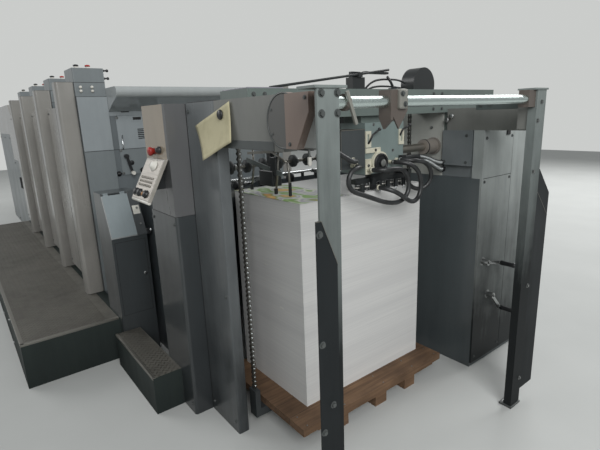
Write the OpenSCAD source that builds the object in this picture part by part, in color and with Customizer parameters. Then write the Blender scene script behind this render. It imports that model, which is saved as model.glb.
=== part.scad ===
// Offset printing press for sheets: pile feeder, feed board, four printing units and delivery.
// X runs along the press with the feeder at the plus end, Y points to the drive side.
// The origin is on the floor under the middle of the first printing unit.

/* [Printing units] */
// Distance from one printing unit to the next
unit_pitch = 900; // [860:20:980]
// Half of the width over the side frames
frame_y = 895; // [880:5:920]
// Height of the printing units
unit_h = 1790; // [1740:10:1840]
// Gap between two towers
unit_gap = 80; // [60:5:110]
// How far the corner covers stand out of the side frames
cover_out = 125; // [90:5:140]
// Length of a corner cover along the press
cover_l = 110; // [90:5:150]
// How far the corner covers stand above the towers
cover_rise = 100; // [60:5:130]

/* [Platform and console] */
// Height of the operator platform
platform_h = 300; // [260:10:330]
// Width of the operator platform
platform_w = 650; // [560:10:750]
// Length of the platform past the first unit
platform_past = 580; // [500:10:600]
// Height of the step box
step_h = 225; // [180:5:250]
// Width of the console
console_w = 230; // [200:5:250]
// Height of the console's low edge
console_low = 865; // [820:5:900]
// Height of the console's high edge
console_high = 1150; // [1100:5:1180]

/* [Feeder] */
// Distance from the first unit to the outer face of the paper stack
feed_l = 2000; // [1960:10:2060]
// Width of the paper stack across the press
sheet_w = 889; // [860:5:900]
// Length of the paper stack along the press
sheet_l = 597; // [560:5:600]
// Height of the top of the paper stack
stack_top = 1203; // [1160:5:1205]
// Height of the top of the pile board
board_top = 130; // [120:2:140]
// Height of the feeder's beams and posts
feeder_h = 1680; // [1650:5:1690]
// Reach of the posts past the outer face of the stack
post_reach = 600; // [560:10:640]
// Diameter of the front rail
rail_d = 38; // [26:1:40]
// Length of the crank arms
crank_l = 150; // [130:5:155]

/* [Suction head] */
// Width of the suction head's block
head_w = 298; // [260:2:310]
// Diameter of the drive shaft
shaft_d = 46; // [30:1:50]
// Number of suckers
sucker_count = 6; // [4:1:8]
// Diameter of the air hoses
hose_d = 24; // [18:1:25]

/* [Delivery] */
// Length of the delivery
delivery_l = 2450; // [2300:50:2700]
// Height of the delivery hood
delivery_h = 1900; // [1850:10:1950]

/* [Hidden] */
$fn = 48;

// Outer face of the paper stack
stack_x = unit_pitch / 2 + feed_l;
// Last tower's face towards the delivery
last_x = -3.5 * unit_pitch;
// Running gap round a pin or a shaft
run_gap = 0.05;
// Distance that curved and moving pieces keep from their neighbours
fit_gap = 0.3;
// Seam left between two covers
seam = 2;
// Running distance beside a moving lid
lid_gap = 5;

// Block from corner a to corner b
module span(a, b) {
    translate(a) cube(b - a);
}

// Block from corner a to corner b, given for the plus Y side, on the side that s names
module side_span(s, a, b) {
    if (s > 0) span(a, b);
    else span([a.x, -b.y, a.z], [b.x, -a.y, b.z]);
}

// Rectangle with round corners, its lower left corner at the origin
module round_rect(w, d, r) {
    translate([r, 0]) square([w - 2 * r, d]);
    translate([0, r]) square([w, d - 2 * r]);
    for (x = [r, w - r], y = [r, d - r]) translate([x, y]) circle(r);
}

// Block from corner a to corner b with round upright edges
module soft_span(a, b, r) {
    translate(a) linear_extrude(b.z - a.z) round_rect(b.x - a.x, b.y - a.y, r);
}

// Outline in Y and Z drawn out along X
module along_x(x0, x1) {
    translate([x0, 0, 0]) rotate([90, 0, 90]) linear_extrude(x1 - x0) children();
}

// Outline in X and Z drawn out along Y
module along_y(y0, y1) {
    translate([0, y1, 0]) rotate([90, 0, 0]) linear_extrude(y1 - y0) children();
}

// Round bar along Y
module bar_y(x, y0, y1, z, r) {
    translate([x, y0, z]) rotate([-90, 0, 0]) cylinder(h = y1 - y0, r = r);
}

// Round bar along X
module bar_x(x0, x1, y, z, r) {
    translate([x0, y, z]) rotate([0, 90, 0]) cylinder(h = x1 - x0, r = r);
}

// Printing units

// Closed base under all four towers
module press_base() {
    color("#54585a") span([last_x, -frame_y, 0], [unit_pitch / 2, frame_y, platform_h]);
}

// Towers of the four printing units, their far top edges sloped back
edge_slope = 60;
module unit_towers() {
    color("#6f7578") for (n = [1:4]) {
        x1 = unit_pitch * (1.5 - n);
        x0 = x1 - unit_pitch + unit_gap;
        along_y(-frame_y, frame_y)
            polygon([[x0, platform_h], [x1, platform_h], [x1, unit_h], [x0 + edge_slope, unit_h],
                [x0, unit_h - edge_slope]]);
    }
}

// Tall corner covers at each unit's intake end and flat doors behind them, on both sides
door_out = 60;
door_low = platform_h + 60;
door_high = unit_h - 60;
corner_r = 20;
module unit_covers() {
    color("#969087") for (n = [1:4], side = [-1, 1]) {
        x1 = unit_pitch * (1.5 - n);
        near = min(side * frame_y, side * (frame_y + cover_out));
        soft_span([x1 - cover_l, near, platform_h + 5], [x1, near + cover_out, unit_h + cover_rise], corner_r);
        side_span(side, [x1 - unit_pitch + unit_gap + seam, frame_y, door_low],
            [x1 - cover_l - seam, frame_y + door_out, door_high]);
    }
}

// Block with push buttons on top of each tower's operator corner
block_l = 255;
block_w = 215;
block_h = 200;
module control_blocks() {
    color("#5d6366") for (n = [1:4]) {
        x1 = unit_pitch * (1.5 - n) - seam;
        soft_span([x1 - block_l, -frame_y, unit_h], [x1, -frame_y + block_w, unit_h + block_h], 8);
    }
}
// Two large buttons on top and four small ones on the face that looks at the feeder
button_r = 14;
small_button_r = 8;
button_y0 = -frame_y + 40;
button_gap = 78;
button_z0 = unit_h + 40;
button_rise = 27;
module control_buttons() {
    color("#b8b4ac") for (n = [1:4]) {
        x1 = unit_pitch * (1.5 - n) - seam;
        for (k = [0, 1])
            translate([x1 - 40, button_y0 + button_gap * k, unit_h + block_h]) cylinder(h = 14, r = button_r);
        for (k = [0, 1], m = [0, 1])
            bar_x(x1, x1 + 8, button_y0 + button_gap * k, button_z0 + button_rise * m, small_button_r);
    }
}

// Smooth panels on the side frames' intake ends of the first unit, and blank plates between them
panel_t = 16;
panel_w = 210;
plate_t = 6;
lever_y = -600;
lever_z = 1345;
module intake_panels() {
    x = unit_pitch / 2;
    color("#8b8f90") {
        for (side = [-1, 1])
            side_span(side, [x, frame_y - panel_w, platform_h + 5], [x + panel_t, frame_y, unit_h]);
        span([x, lever_y - 40, 1200], [x + plate_t, lever_y + 180, 1650]);
        span([x, lever_y + 200, 1560], [x + plate_t, lever_y + 300, 1640]);
        span([x, lever_y + 200, 1360], [x + plate_t, lever_y + 300, 1500]);
        span([x, lever_y + 320, 1200], [x + plate_t, 560, 1650]);
    }
}

// Guard with a round front edge across the press above the first unit's intake
guard_l = 260;
guard_h = 80;
module infeed_guard() {
    x = unit_pitch / 2;
    color("#5d6366") translate([x, 0, unit_h - 20]) along_y(-frame_y + panel_w, frame_y - panel_w) {
        polygon([[0, -90], [guard_l - guard_h / 2, 0], [guard_l - guard_h / 2, guard_h], [0, guard_h]]);
        translate([guard_l - guard_h / 2, guard_h / 2]) circle(guard_h / 2);
    }
}

// Lever on the first unit's intake end, on a fixed stud, with a white knob at its low end
lever_l = 135;
lever_tilt = 13;
module throw_lever() {
    x = unit_pitch / 2 + plate_t;
    color("#1c1d1e") translate([x, lever_y, lever_z]) rotate([lever_tilt, 0, 0]) {
        bar_x(fit_gap, 32, 0, 0, 16);
        span([18, -10, -lever_l], [26, 10, 0]);
    }
}
module throw_knob() {
    x = unit_pitch / 2 + plate_t;
    color("#e4e2dc") translate([x, lever_y, lever_z]) rotate([lever_tilt, 0, 0])
        bar_x(26, 54, 0, -lever_l, 15);
}

// Delivery

bay_l = 1450;
bay_clear = 1480;
side_t = 130;
base_h = 1100;
window_h = 420;
deliv_x0 = last_x - delivery_l;
bay_x1 = deliv_x0 + bay_l;
rise_l = 700;
// Closed housing under the rising part
module delivery_base() {
    color("#6f7578") span([bay_x1, -frame_y, 0], [last_x, frame_y, base_h]);
}
// Side plates beside the delivery pile, and the shelf its board stands on
module delivery_sides() {
    color("#6f7578") {
        for (side = [-1, 1])
            side_span(side, [deliv_x0, frame_y - side_t, 0], [bay_x1, frame_y, bay_clear]);
        span([deliv_x0 + 250, -frame_y + side_t, board_top - 40],
            [deliv_x0 + 450 + sheet_l, frame_y - side_t, board_top]);
    }
}
// Rising chain housing and the hood over the pile
module delivery_hood() {
    color("#969087") {
        along_y(-frame_y, frame_y)
            polygon([[bay_x1, base_h], [last_x, base_h], [last_x, bay_clear],
                [last_x - rise_l, delivery_h], [bay_x1, delivery_h]]);
        along_y(-frame_y, frame_y)
            polygon([[bay_x1, bay_clear], [bay_x1, delivery_h], [deliv_x0 + 120, delivery_h],
                [deliv_x0, delivery_h - 120], [deliv_x0, bay_clear]]);
    }
}
// Tinted guard across the end of the pile bay
module delivery_window() {
    color("#30383a") span([deliv_x0, -frame_y + side_t, bay_clear - window_h],
        [deliv_x0 + 8, frame_y - side_t, bay_clear]);
}
module delivery_stack() {
    color("#dcdcda") span([deliv_x0 + 350, -sheet_w / 2, board_top],
        [deliv_x0 + 350 + sheet_l, sheet_w / 2, board_top + 520]);
}

// Operator side platform, step and console

plat_y0 = -frame_y - platform_w;
plat_x1 = unit_pitch / 2 + platform_past;
module operator_platform() {
    color("#57524b") span([last_x, plat_y0, 0], [plat_x1, -frame_y, platform_h]);
}

// Outer face of the feeder's operator side
op_out = -850;
box_l = 340;
col_x0 = stack_x - 490;
step_w = 165;
step_l = 690;
module step_box() {
    x1 = col_x0 - box_l + 190;
    color("#57524b") span([x1 - step_l, op_out - step_w, 0], [x1, op_out, step_h]);
}

// Console with a steep slanted face that looks at the feeder
con_x = stack_x - 1340;
con_y1 = -725;
con_y0 = con_y1 - console_w;
con_slope = 130;
con_l = 300;
lid_t = 10;
hinge_r = 6;
pin_r = 3;
knuckle = 30;
strip_w = 58;
// Angle of the slanted face from upright, and its length
slope_deg = atan2(con_slope, console_high - console_low);
slope_l = norm([con_slope, console_high - console_low]);
// Moves a piece drawn along minus Z, thickness along X, onto the slanted face
module on_slope() {
    translate([con_x - con_slope, 0, console_high]) rotate([0, -slope_deg, 0]) children();
}
hinge_x = hinge_r + fit_gap;
lid_y1 = con_y1 - strip_w - lid_gap;
hinge_mid = (con_y0 + lid_y1) / 2;
module console() {
    color("#3b4145") {
        along_y(con_y0, con_y1)
            polygon([[con_x - con_l, platform_h], [con_x, platform_h], [con_x, console_low],
                [con_x - con_slope, console_high], [con_x - con_l, console_high]]);
        span([con_x - 60, con_y0, 0], [con_x, con_y1, platform_h]);
        on_slope() {
            span([0, con_y1 - strip_w, -slope_l], [lid_t, con_y1, 0]);
            bar_y(hinge_x, con_y0 + 10, lid_y1 - 10, -hinge_r, pin_r);
            bar_y(hinge_x, hinge_mid - knuckle / 2, hinge_mid + knuckle / 2, -hinge_r, hinge_r);
            span([0, hinge_mid - knuckle / 2, -1.5 * hinge_r], [hinge_x, hinge_mid + knuckle / 2, 0]);
        }
    }
}
// Lid with two barrels on the console's hinge pin
module console_lid() {
    color("#6d7a80") on_slope() {
        span([fit_gap, con_y0, -slope_l], [lid_t, lid_y1, -3 * hinge_r]);
        for (y = [con_y0 + 15, lid_y1 - 15 - knuckle]) difference() {
            union() {
                bar_y(hinge_x, y, y + knuckle, -hinge_r, hinge_r);
                span([hinge_x, y, -3 * hinge_r - 1], [lid_t, y + knuckle, -hinge_r]);
            }
            bar_y(hinge_x, y - 1, y + knuckle + 1, -hinge_r, pin_r + run_gap);
        }
    }
}

// Feed board

feed_x0 = unit_pitch / 2;
feed_x1 = stack_x - sheet_l - 40;
board_x0 = feed_x0 + 60;
feed_z0 = 940;
feed_z1 = 1160;
feed_t = 30;
feed_half = 520;
// Inner faces of the feeder's two sides
op_in = -685;
dr_in = 701;
// Height of the feed board's upper face at x
function feed_top(x) = feed_z0 + feed_t + (feed_z1 - feed_z0) * (x - board_x0) / (feed_x1 - board_x0);
// Outline of a layer of thickness t that lies on the board between two places along the press
module board_layer(xa, xb, t) {
    polygon([[xa, feed_top(xa)], [xa, feed_top(xa) + t], [xb, feed_top(xb) + t], [xb, feed_top(xb)]]);
}
module feed_board() {
    color("#8b8d8a") along_y(-feed_half, feed_half) board_layer(board_x0, feed_x1, -feed_t);
}
// Flat tapes along the board
tape_w = 50;
module feed_tapes() {
    color("#3a3c3c") for (y = [-360:240:360])
        translate([0, 0, fit_gap]) along_y(y - tape_w / 2, y + tape_w / 2)
            board_layer(board_x0 + 20, feed_x1 - 10, 3);
}
// Side walls that carry the feed board
module feed_frame() {
    color("#4a5053") for (side = [[op_in, -feed_half], [feed_half, -op_in]])
        along_y(side[0], side[1])
            polygon([[feed_x0, 0], [feed_x1, 0], [feed_x1, feed_z1 + 60], [feed_x0, feed_z0 + 60]]);
}

// Feeder, operator side

// The column is as deep as the beam that it carries, and both are flush on their outer faces
col_w = 295;
col_x1 = col_x0 + col_w;
col_t = 60;
col_r = 8;
beam_low = feeder_h - 200;
module operator_column() {
    color("#3c4246") soft_span([col_x0, op_in - col_t, 0], [col_x1, op_in, feeder_h], col_r);
}
box_top = 1130;
box_r = 15;
module operator_side_box() {
    color("#3c4246") soft_span([col_x0 - box_l, op_out, 0], [col_x0, op_in, box_top], box_r);
}
// Head of the side box: a dark block, and over it a dark edge and back round the light panel
head_in = 30;
light_low = 1400;
module column_head() {
    x0 = col_x0 - box_l + head_in;
    color("#33393c") {
        span([x0, op_out, box_top + seam], [col_x0, op_in, light_low]);
        span([col_x0 - head_in, op_out, light_low], [col_x0, op_in, feeder_h]);
        span([x0, op_in - col_t, light_low], [col_x0 - head_in, op_in, feeder_h]);
    }
}
module column_light_panel() {
    color("#a09488") span([col_x0 - box_l + head_in, op_out, light_low],
        [col_x0 - head_in, op_in - col_t, feeder_h]);
}
// Small flat control panel that leans out from the head on a short arm
pan_x0 = col_x0 - 248;
pan_w = 235;
pan_t = 18;
pan_top = 1418;
pan_low = 1222;
pan_lean = 105;
arm_w = 90;
arm_z0 = 1270;
arm_z1 = 1350;
module control_panel() {
    y = op_out - 2;
    color("#b8b4ac") along_x(pan_x0, pan_x0 + pan_w)
        polygon([[y, pan_top], [y - pan_t, pan_top], [y - pan_t - pan_lean, pan_low], [y - pan_lean, pan_low]]);
}
// Arm between the head and the panel, its outer face on the panel's back
function pan_back(z) = op_out - 2 - pan_lean * (pan_top - z) / (pan_top - pan_low);
module panel_arm() {
    color("#1f2224") along_x(pan_x0 + (pan_w - arm_w) / 2, pan_x0 + (pan_w + arm_w) / 2)
        polygon([[op_out, arm_z0], [op_out, arm_z1], [pan_back(arm_z1), arm_z1], [pan_back(arm_z0), arm_z0]]);
}
// The beam, its thin end plate and the flange behind the post
beam_x1 = stack_x + 310;
end_t = 6;
end_low = beam_low + 15;
flange_t = 8;
module operator_top_beam() {
    color("#5b605f") {
        span([col_x1, op_in - col_t, beam_low], [beam_x1, op_in, feeder_h]);
        span([beam_x1, op_in - col_t, end_low], [post_x1 - post_t, op_in - col_t + end_t, feeder_h]);
        span([post_x1 - post_t - flange_t, op_post_y + 5, feeder_h - 130],
            [post_x1 - post_t, op_in - col_t + end_t, feeder_h - 2]);
    }
}
// Cover on the beam's end: a round drum, and beside it a box cut off slanting towards the post
drum_r = 94;
drum_x = stack_x + 350;
drum_t = 28;
module beam_end_cover() {
    z = end_low + drum_r;
    color("#5b504b") along_y(op_in - col_t - drum_t, op_in - col_t) {
        translate([drum_x, z]) circle(drum_r);
        polygon([[drum_x, end_low], [drum_x + 76, end_low], [drum_x + 145, end_low + 120],
            [drum_x + 145, feeder_h - 3], [drum_x, feeder_h - 3]]);
    }
}

// Front posts: angle bars with a dark guard plate bolted on
post_w = 87;
post_t = 8;
post_d = 40;
post_x1 = stack_x + post_reach;
op_post_y = -832;
dr_post_y = 500;
cap_t = 8;
module front_posts() {
    color("#696b67") {
        span([post_x1 - post_t, op_post_y, 0], [post_x1, op_post_y + post_w, feeder_h]);
        span([post_x1 - post_d, op_post_y + post_w - post_t, 0],
            [post_x1 - post_t, op_post_y + post_w, feeder_h - 140]);
        span([post_x1 - post_t, dr_post_y, 0], [post_x1, dr_post_y + post_w, feeder_h]);
        span([post_x1 - post_d, dr_post_y, 0], [post_x1 - post_t, dr_post_y + post_t, feeder_h]);
        for (y = [op_post_y - 10, dr_post_y - 30])
            span([post_x1 - 2 * post_d, y, feeder_h], [post_x1 + 4, y + post_w + 40, feeder_h + cap_t]);
    }
}
guard_top = 1290;
guard_t = 6;
module post_plates() {
    op_y0 = op_post_y - 20;
    dr_y0 = dr_post_y + post_w - 30;
    color("#35393b") {
        along_x(post_x1, post_x1 + guard_t)
            polygon([[op_y0, 30], [op_y0 + 84, 30], [op_y0 + 84, guard_top - 150], [op_y0 + 20, guard_top],
                [op_y0, guard_top]]);
        along_x(post_x1 - post_t - guard_t, post_x1 - post_t)
            polygon([[dr_y0, 75], [dr_y0 + 178, 75], [dr_y0 + 178, guard_top - 120],
                [dr_y0 + 50, guard_top + 15], [dr_y0, guard_top + 15]]);
    }
}
rail_x = post_x1 - post_t - rail_d / 2 - 2;
rail_z = feeder_h - 41;
module front_rail() {
    color("#c8ccce") bar_y(rail_x, op_in - col_t + end_t, dr_post_y, rail_z, rail_d / 2);
}
// Clamp bracket on the rail, the flat strip that hangs near the operator post and the clamp at the far end
lean = 22;
clamp_r = rail_d / 2 + 7;
clamp_y = -498;
strip_y = -695;
module rail_bracket() {
    x0 = rail_x - 28;
    x1 = rail_x + 26;
    color("#5b504b") {
        difference() {
            union() {
                along_y(clamp_y - 12, clamp_y)
                    polygon([[x0, rail_z - 52], [x0 + 20, rail_z - 90], [x1, rail_z - 60], [x1, rail_z + 38],
                        [x0, rail_z + 38]]);
                along_x(x1 - 6, x1)
                    polygon([[clamp_y - 12, rail_z + 38], [clamp_y - 12, rail_z - 30],
                        [clamp_y + 28, rail_z - 90], [clamp_y + 73, rail_z - 30],
                        [clamp_y + 73, rail_z + 38]]);
                bar_y(rail_x, clamp_y, clamp_y + 60, rail_z, clamp_r);
            }
            bar_y(rail_x, clamp_y - 25, clamp_y + 80, rail_z, rail_d / 2 + fit_gap);
        }
        difference() {
            union() {
                bar_y(rail_x, strip_y - 7, strip_y + 7, rail_z, clamp_r);
                translate([rail_x, strip_y, rail_z]) rotate([lean, 0, 0]) span([19, -5, -72], [26, 5, 34]);
            }
            bar_y(rail_x, strip_y - 25, strip_y + 25, rail_z, rail_d / 2 + fit_gap);
        }
        difference() {
            span([rail_x - rail_d / 2 - 9, dr_post_y - 62, rail_z - 36],
                [post_x1 - post_t, dr_post_y, feeder_h]);
            bar_y(rail_x, dr_post_y - 70, dr_post_y + 5, rail_z, rail_d / 2 + fit_gap);
        }
    }
}

// Feeder, drive side

cab_x1 = stack_x + 222;
cab_l = 1070;
cab_y1 = dr_in + 545;
cab_top = 1210;
house_top = 1485;
skin = 15;
module drive_cabinet() {
    color("#42484b") span([cab_x1 - cab_l, dr_in, 0], [cab_x1, cab_y1, cab_top]);
}
// Light sheet over the cabinet's feeder end, in two widths with a seam
cover_seam = 1030;
cover_t = 12;
cover_fold = 52;
module cabinet_end_cover() {
    color("#878c8e") {
        span([cab_x1, dr_in, 30], [cab_x1 + cover_t, cover_seam - seam, house_top]);
        span([cab_x1 - cover_fold, dr_in, cab_top], [cab_x1, dr_in + skin, house_top]);
        span([cab_x1, cover_seam + seam, 30], [cab_x1 + cover_t, cab_y1, house_top]);
    }
}
// Dark housing over the cabinet, and the box beside the shaft's sleeve
module drive_upper_housing() {
    color("#3a3f41") {
        span([cab_x1 - cab_l, dr_in + skin, cab_top], [cab_x1, cab_y1 - 215, house_top]);
        span([stack_x - 30, dr_in - 10, cab_top + 70], [stack_x + 165, dr_in + skin, house_top]);
    }
}
// Inner wall over the cabinet, up to the beams across the feeder
module drive_inner_wall() {
    color("#666967") span([cab_x1 - cab_l, dr_in, cab_top], [stack_x - 40, dr_in + skin, cross_z0]);
}
drive_y1 = dr_in + 60;
drive_x1 = post_x1 - 90;
module drive_top_beam() {
    color("#4e5352") {
        span([stack_x - 10, dr_in, house_top], [drive_x1, drive_y1, house_top + 125]);
        translate([0, 0, house_top + 15]) linear_extrude(110)
            polygon([[drive_x1, dr_post_y + post_t], [post_x1 - post_t, dr_post_y + post_t],
                [post_x1 - post_t, dr_post_y + post_w + 10], [drive_x1, drive_y1]]);
    }
}

// Hand crank turned to angle, on a stud in the end cover
hub_r = 18;
grip_r = 12;
grip_l = 95;
module crank(y, z, angle) {
    color("#b9bdbe") translate([cab_x1 + cover_t + fit_gap, y, z]) rotate([angle, 0, 0]) {
        bar_x(0, 42, 0, 0, hub_r);
        span([22, 0, -10], [36, crank_l, 10]);
        bar_x(22, 36 + grip_l, crank_l, 0, grip_r);
    }
}
module upper_crank() { crank(765, 700, -13); }
module lower_crank() { crank(845, 465, -47); }

// Suction head over the stack

head_y0 = -13;
head_z0 = 1293;
head_z1 = 1555;
head_d = 180;
shaft_x = stack_x - 100;
shaft_z = 1390;
shaft_r = shaft_d / 2;
cross_z0 = feeder_h - 90;
cross_h = 130;
cross_x0 = stack_x - 240;
cross_x1 = stack_x - 10;
rear_x0 = stack_x - 600;
rear_l = 70;
// Beam across the feeder that carries the head, and its seat on the drive housing
module head_cross_beam() {
    color("#64706f") {
        span([cross_x0, op_in, cross_z0], [cross_x1, cab_y1 - 45, cross_z0 + cross_h]);
        span([cross_x0, dr_in + skin, house_top], [cross_x1 - seam, cab_y1 - 215, cross_z0]);
        span([rear_x0, op_in, cross_z0], [rear_x0 + rear_l, cab_y1 - 215, feeder_h]);
        span([rear_x0, dr_in + skin, house_top], [rear_x0 + rear_l, cab_y1 - 215, cross_z0]);
        span([stack_x - 170, 0, head_z1], [stack_x - 40, 220, cross_z0]);
    }
}
// Motor cover and clamp with a slanted rod on the cross beam, and a dark box under it
dome_r = 96;
rod_y0 = -560;
rod_y1 = 246;
rod_slope = 7;
module beam_gear() {
    top = cross_z0 + cross_h;
    x = cross_x0 + 140;
    color("#26282a") {
        intersection() {
            bar_x(x - 45, x + 45, 528, top + 27, dome_r);
            span([cross_x0, 400, top], [cross_x1, 660, top + 140]);
        }
        span([x - 30, -17, top], [x + 20, 70, top + 62]);
        span([x - 15, -10, top + 62], [x + 5, 50, top + 90]);
        translate([x + 26.3, 26, top + 76]) rotate([rod_slope, 0, 0]) bar_y(0, rod_y0, rod_y1 - 26, 0, 6);
        span([x + 5, 12, top + 62], [x + 34, 40, top + 85]);
        span([cross_x0 + 5, 45, cross_z0 - 70], [cross_x0 + 55, guide_y - 30, cross_z0]);
    }
}
// Two bars along the press that hang from both cross beams and carry the sheet guides
guide_y = 330;
guide_z = 1440;
module separator_frame() {
    color("#33383a") for (y = [-guide_y, guide_y]) {
        span([rear_x0 + 5, y - 15, guide_z], [cross_x1 - 30, y + 15, guide_z + 30]);
        for (x = [rear_x0 + 20, cross_x0 + 40])
            span([x, y - 15, guide_z + 30], [x + 30, y + 15, cross_z0]);
    }
    color("#33383a") bar_x(cross_x1 - 30, stack_x + stub_l, -guide_y, guide_z + 15, stub_r);
}
module suction_head() {
    color("#7f8e8d") difference() {
        span([stack_x - head_d, head_y0, head_z0], [stack_x, head_y0 + head_w, head_z1]);
        bar_y(shaft_x, head_y0 + head_w - 35, head_y0 + head_w + 5, shaft_z, shaft_r + run_gap);
    }
}
cover_low = 1334;
module suction_head_cover() {
    color("#1f2122") span([stack_x - 150, head_y0 - 168, cover_low], [stack_x, head_y0, 1524]);
}
// Pale slotted plates and ring on the face of the head, and the stubs that the hoses push onto
slot_w = 40;
stub_l = 24;
stub_r = hose_d / 2 - 2;
head_stubs = [[5, 1320], [172, 1345], [225, 1352]];
cover_stubs = [[-109, 1350], [-130, 1380]];
wheel_y = 88;
wheel_z = 1348;
wheel_r = 50;
ring_w = 9;
module head_fittings() {
    color("#d5d3c4") {
        for (y = [head_y0, head_y0 + head_w - slot_w]) difference() {
            span([stack_x, y, 1432], [stack_x + 6, y + slot_w, 1514]);
            span([stack_x - 1, y + slot_w / 2 - 7, 1450], [stack_x + 7, y + slot_w / 2 + 7, 1498]);
        }
        for (s = concat(head_stubs, cover_stubs)) bar_x(stack_x, stack_x + stub_l, s[0], s[1], stub_r);
        difference() {
            bar_x(stack_x, stack_x + 16, wheel_y, wheel_z, wheel_r + ring_w);
            bar_x(stack_x - 1, stack_x + 17, wheel_y, wheel_z, wheel_r + fit_gap);
            span([stack_x - 1, wheel_y - wheel_r - 20, wheel_z - wheel_r - 20],
                [stack_x + 17, wheel_y + wheel_r + 20, wheel_z - 20]);
        }
    }
}
// Dark hand wheel in the ring
module head_wheel() {
    color("#26282a") {
        bar_x(stack_x, stack_x + 20, wheel_y, wheel_z, wheel_r);
        bar_x(stack_x + 20, stack_x + 34, wheel_y, wheel_z, 18);
    }
}
sleeve_y = 590;
sleeve_r = 44;
module head_shaft() {
    color("#c8ccce") bar_y(shaft_x, head_y0 + head_w - 30, sleeve_y + 70, shaft_z, shaft_r);
}
module shaft_sleeve() {
    color("#515655") difference() {
        union() {
            bar_y(shaft_x, sleeve_y, dr_in, shaft_z, sleeve_r);
            bar_y(shaft_x, dr_in - 12, dr_in, shaft_z, sleeve_r + 8);
        }
        bar_y(shaft_x, sleeve_y - 5, sleeve_y + 75, shaft_z, shaft_r + run_gap);
    }
}
// Bar with the suckers just over the top sheet
bar_y0 = -60;
bar_l = 390;
elbow_y = 300;
lift = 6;
bar_low = stack_top + 42;
bar_high = stack_top + 67;
module sucker_bar() {
    port = hose_2_end;
    color("#2a2c2d") {
        span([stack_x - 60, bar_y0, bar_low], [stack_x - 20, bar_y0 + bar_l, bar_high]);
        for (k = [0:sucker_count - 1])
            translate([stack_x - 40, bar_y0 + bar_l * (k + 0.5) / sucker_count, stack_top + lift])
                cylinder(h = bar_low - stack_top - lift, r = 13);
        span([stack_x - 70, 60, bar_high], [stack_x - 20, 200, head_z0]);
        span([stack_x - 60, elbow_y - 14, bar_high], [stack_x + stub_l + 14, elbow_y + 14, bar_high + 26]);
        translate([stack_x + stub_l, elbow_y, hose_3_low]) cylinder(h = bar_high - hose_3_low, r = stub_r);
        span([stack_x - 20, port.x - 14, port.y - 13], [stack_x, port.x + 14, bar_high]);
        bar_x(stack_x, stack_x + stub_l, port.x, port.y, stub_r);
    }
}
// Height at which hose 3 ends under its elbow, and the Y and Z of the port that hose 2 ends on
hose_3_low = 1238;
hose_2_end = [57, 1223];

// Air hoses that hang in loops before the stack

// Point at t on the smooth curve through four points
function curve(a, b, c, d, t) =
    0.5 * (2 * b + (c - a) * t + (2 * a - 5 * b + 4 * c - d) * t * t + (3 * b - a - 3 * c + d) * t * t * t);
function unit_of(v) = v / norm(v);
// Route with steps points between each two of its own points
function route(p, steps) = [
    for (i = [0:len(p) - 2], k = [0:steps - 1])
        curve(p[max(i - 1, 0)], p[i], p[i + 1], p[min(i + 2, len(p) - 1)], k / steps),
    p[len(p) - 1]
];
// Directions along the route, square to the end faces at both ends
function headings(p, last) = [
    for (i = [0:len(p) - 1]) i == 0 ? [1, 0, 0] : i == len(p) - 1 ? last : unit_of(p[i + 1] - p[i - 1])
];
// Side directions carried along the headings without twist
function sides(t) = [
    for (i = 0, v = [0, 0, 1]; i < len(t); i = i + 1,
        v = i < len(t) ? unit_of(v - (v * t[i]) * t[i]) : v) v
];
module hose(points, last = [-1, 0, 0]) {
    p = route([for (q = points) q + [stack_x + stub_l, 0, 0]], 1);
    t = headings(p, last);
    s = sides(t);
    n = 10;
    ring = [for (i = [0:len(p) - 1], k = [0:n - 1])
        p[i] + hose_d / 2 * (cos(360 * k / n) * s[i] + sin(360 * k / n) * cross(t[i], s[i]))];
    walls = [for (i = [0:len(p) - 2], k = [0:n - 1]) each [
        [i * n + k, (i + 1) * n + k, (i + 1) * n + (k + 1) % n],
        [i * n + k, (i + 1) * n + (k + 1) % n, i * n + (k + 1) % n]
    ]];
    ends = [[for (k = [0:n - 1]) k], [for (k = [n - 1:-1:0]) (len(p) - 1) * n + k]];
    color("#1c1d1e") polyhedron(ring, concat(walls, ends));
}
// Points of the routes, their X counted from the ends of the stubs
module hose_1() {
    hose([[0, 5, 1320], [36, 15, 1320], [62, 41, 1320], [72, 77, 1320], [72, 125, 1319], [72, 173, 1306],
        [72, 208, 1271], [72, 221, 1224], [72, 211, 1183], [72, 181, 1154], [72, 140, 1143], [72, 90, 1145],
        [72, 26, 1159], [72, -44, 1184], [72, -106, 1208], [72, -150, 1224], [72, -185, 1238],
        [72, -210, 1256], [72, -223, 1283], [72, -220, 1311], [72, -204, 1334], [71, -180, 1347],
        [63, -149, 1350], [41, -121, 1350], [12, -110, 1350], [0, -109, 1350]]);
}
module hose_2() {
    hose([[0, 172, 1345], [36, 179, 1345], [66, 199, 1341], [90, 229, 1325], [100, 260, 1294],
        [102, 280, 1250], [102, 284, 1206], [102, 273, 1168], [104, 250, 1146], [105, 220, 1138],
        [103, 186, 1147], [98, 150, 1170], [88, 112, 1196], [76, 85, 1210], [54, 65, 1219], [24, 58, 1223],
        [0, 57, 1223]]);
}
module hose_3() {
    hose([[0, 225, 1352], [36, 235, 1351], [62, 261, 1349], [72, 297, 1344], [72, 340, 1335],
        [72, 382, 1312], [72, 410, 1274], [70, 411, 1234], [60, 395, 1201], [44, 366, 1183],
        [26, 334, 1185], [8, 309, 1206], [0, 300, 1238]], [0, 0, 1]);
}
module hose_4() {
    hose([[0, -130, 1380], [36, -140, 1380], [62, -166, 1381], [72, -202, 1388], [70, -240, 1406],
        [68, -277, 1427], [60, -303, 1441], [38, -323, 1451], [10, -330, 1455], [0, -330, 1455]]);
}

// Pile hoist, board and paper

chain_y = 620;
chain_low = 200;
lift_y = 480;
lift_t = 45;
front_chain_x = stack_x - 225;
rear_chain_x = rear_x0 + rear_l / 2;
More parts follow.
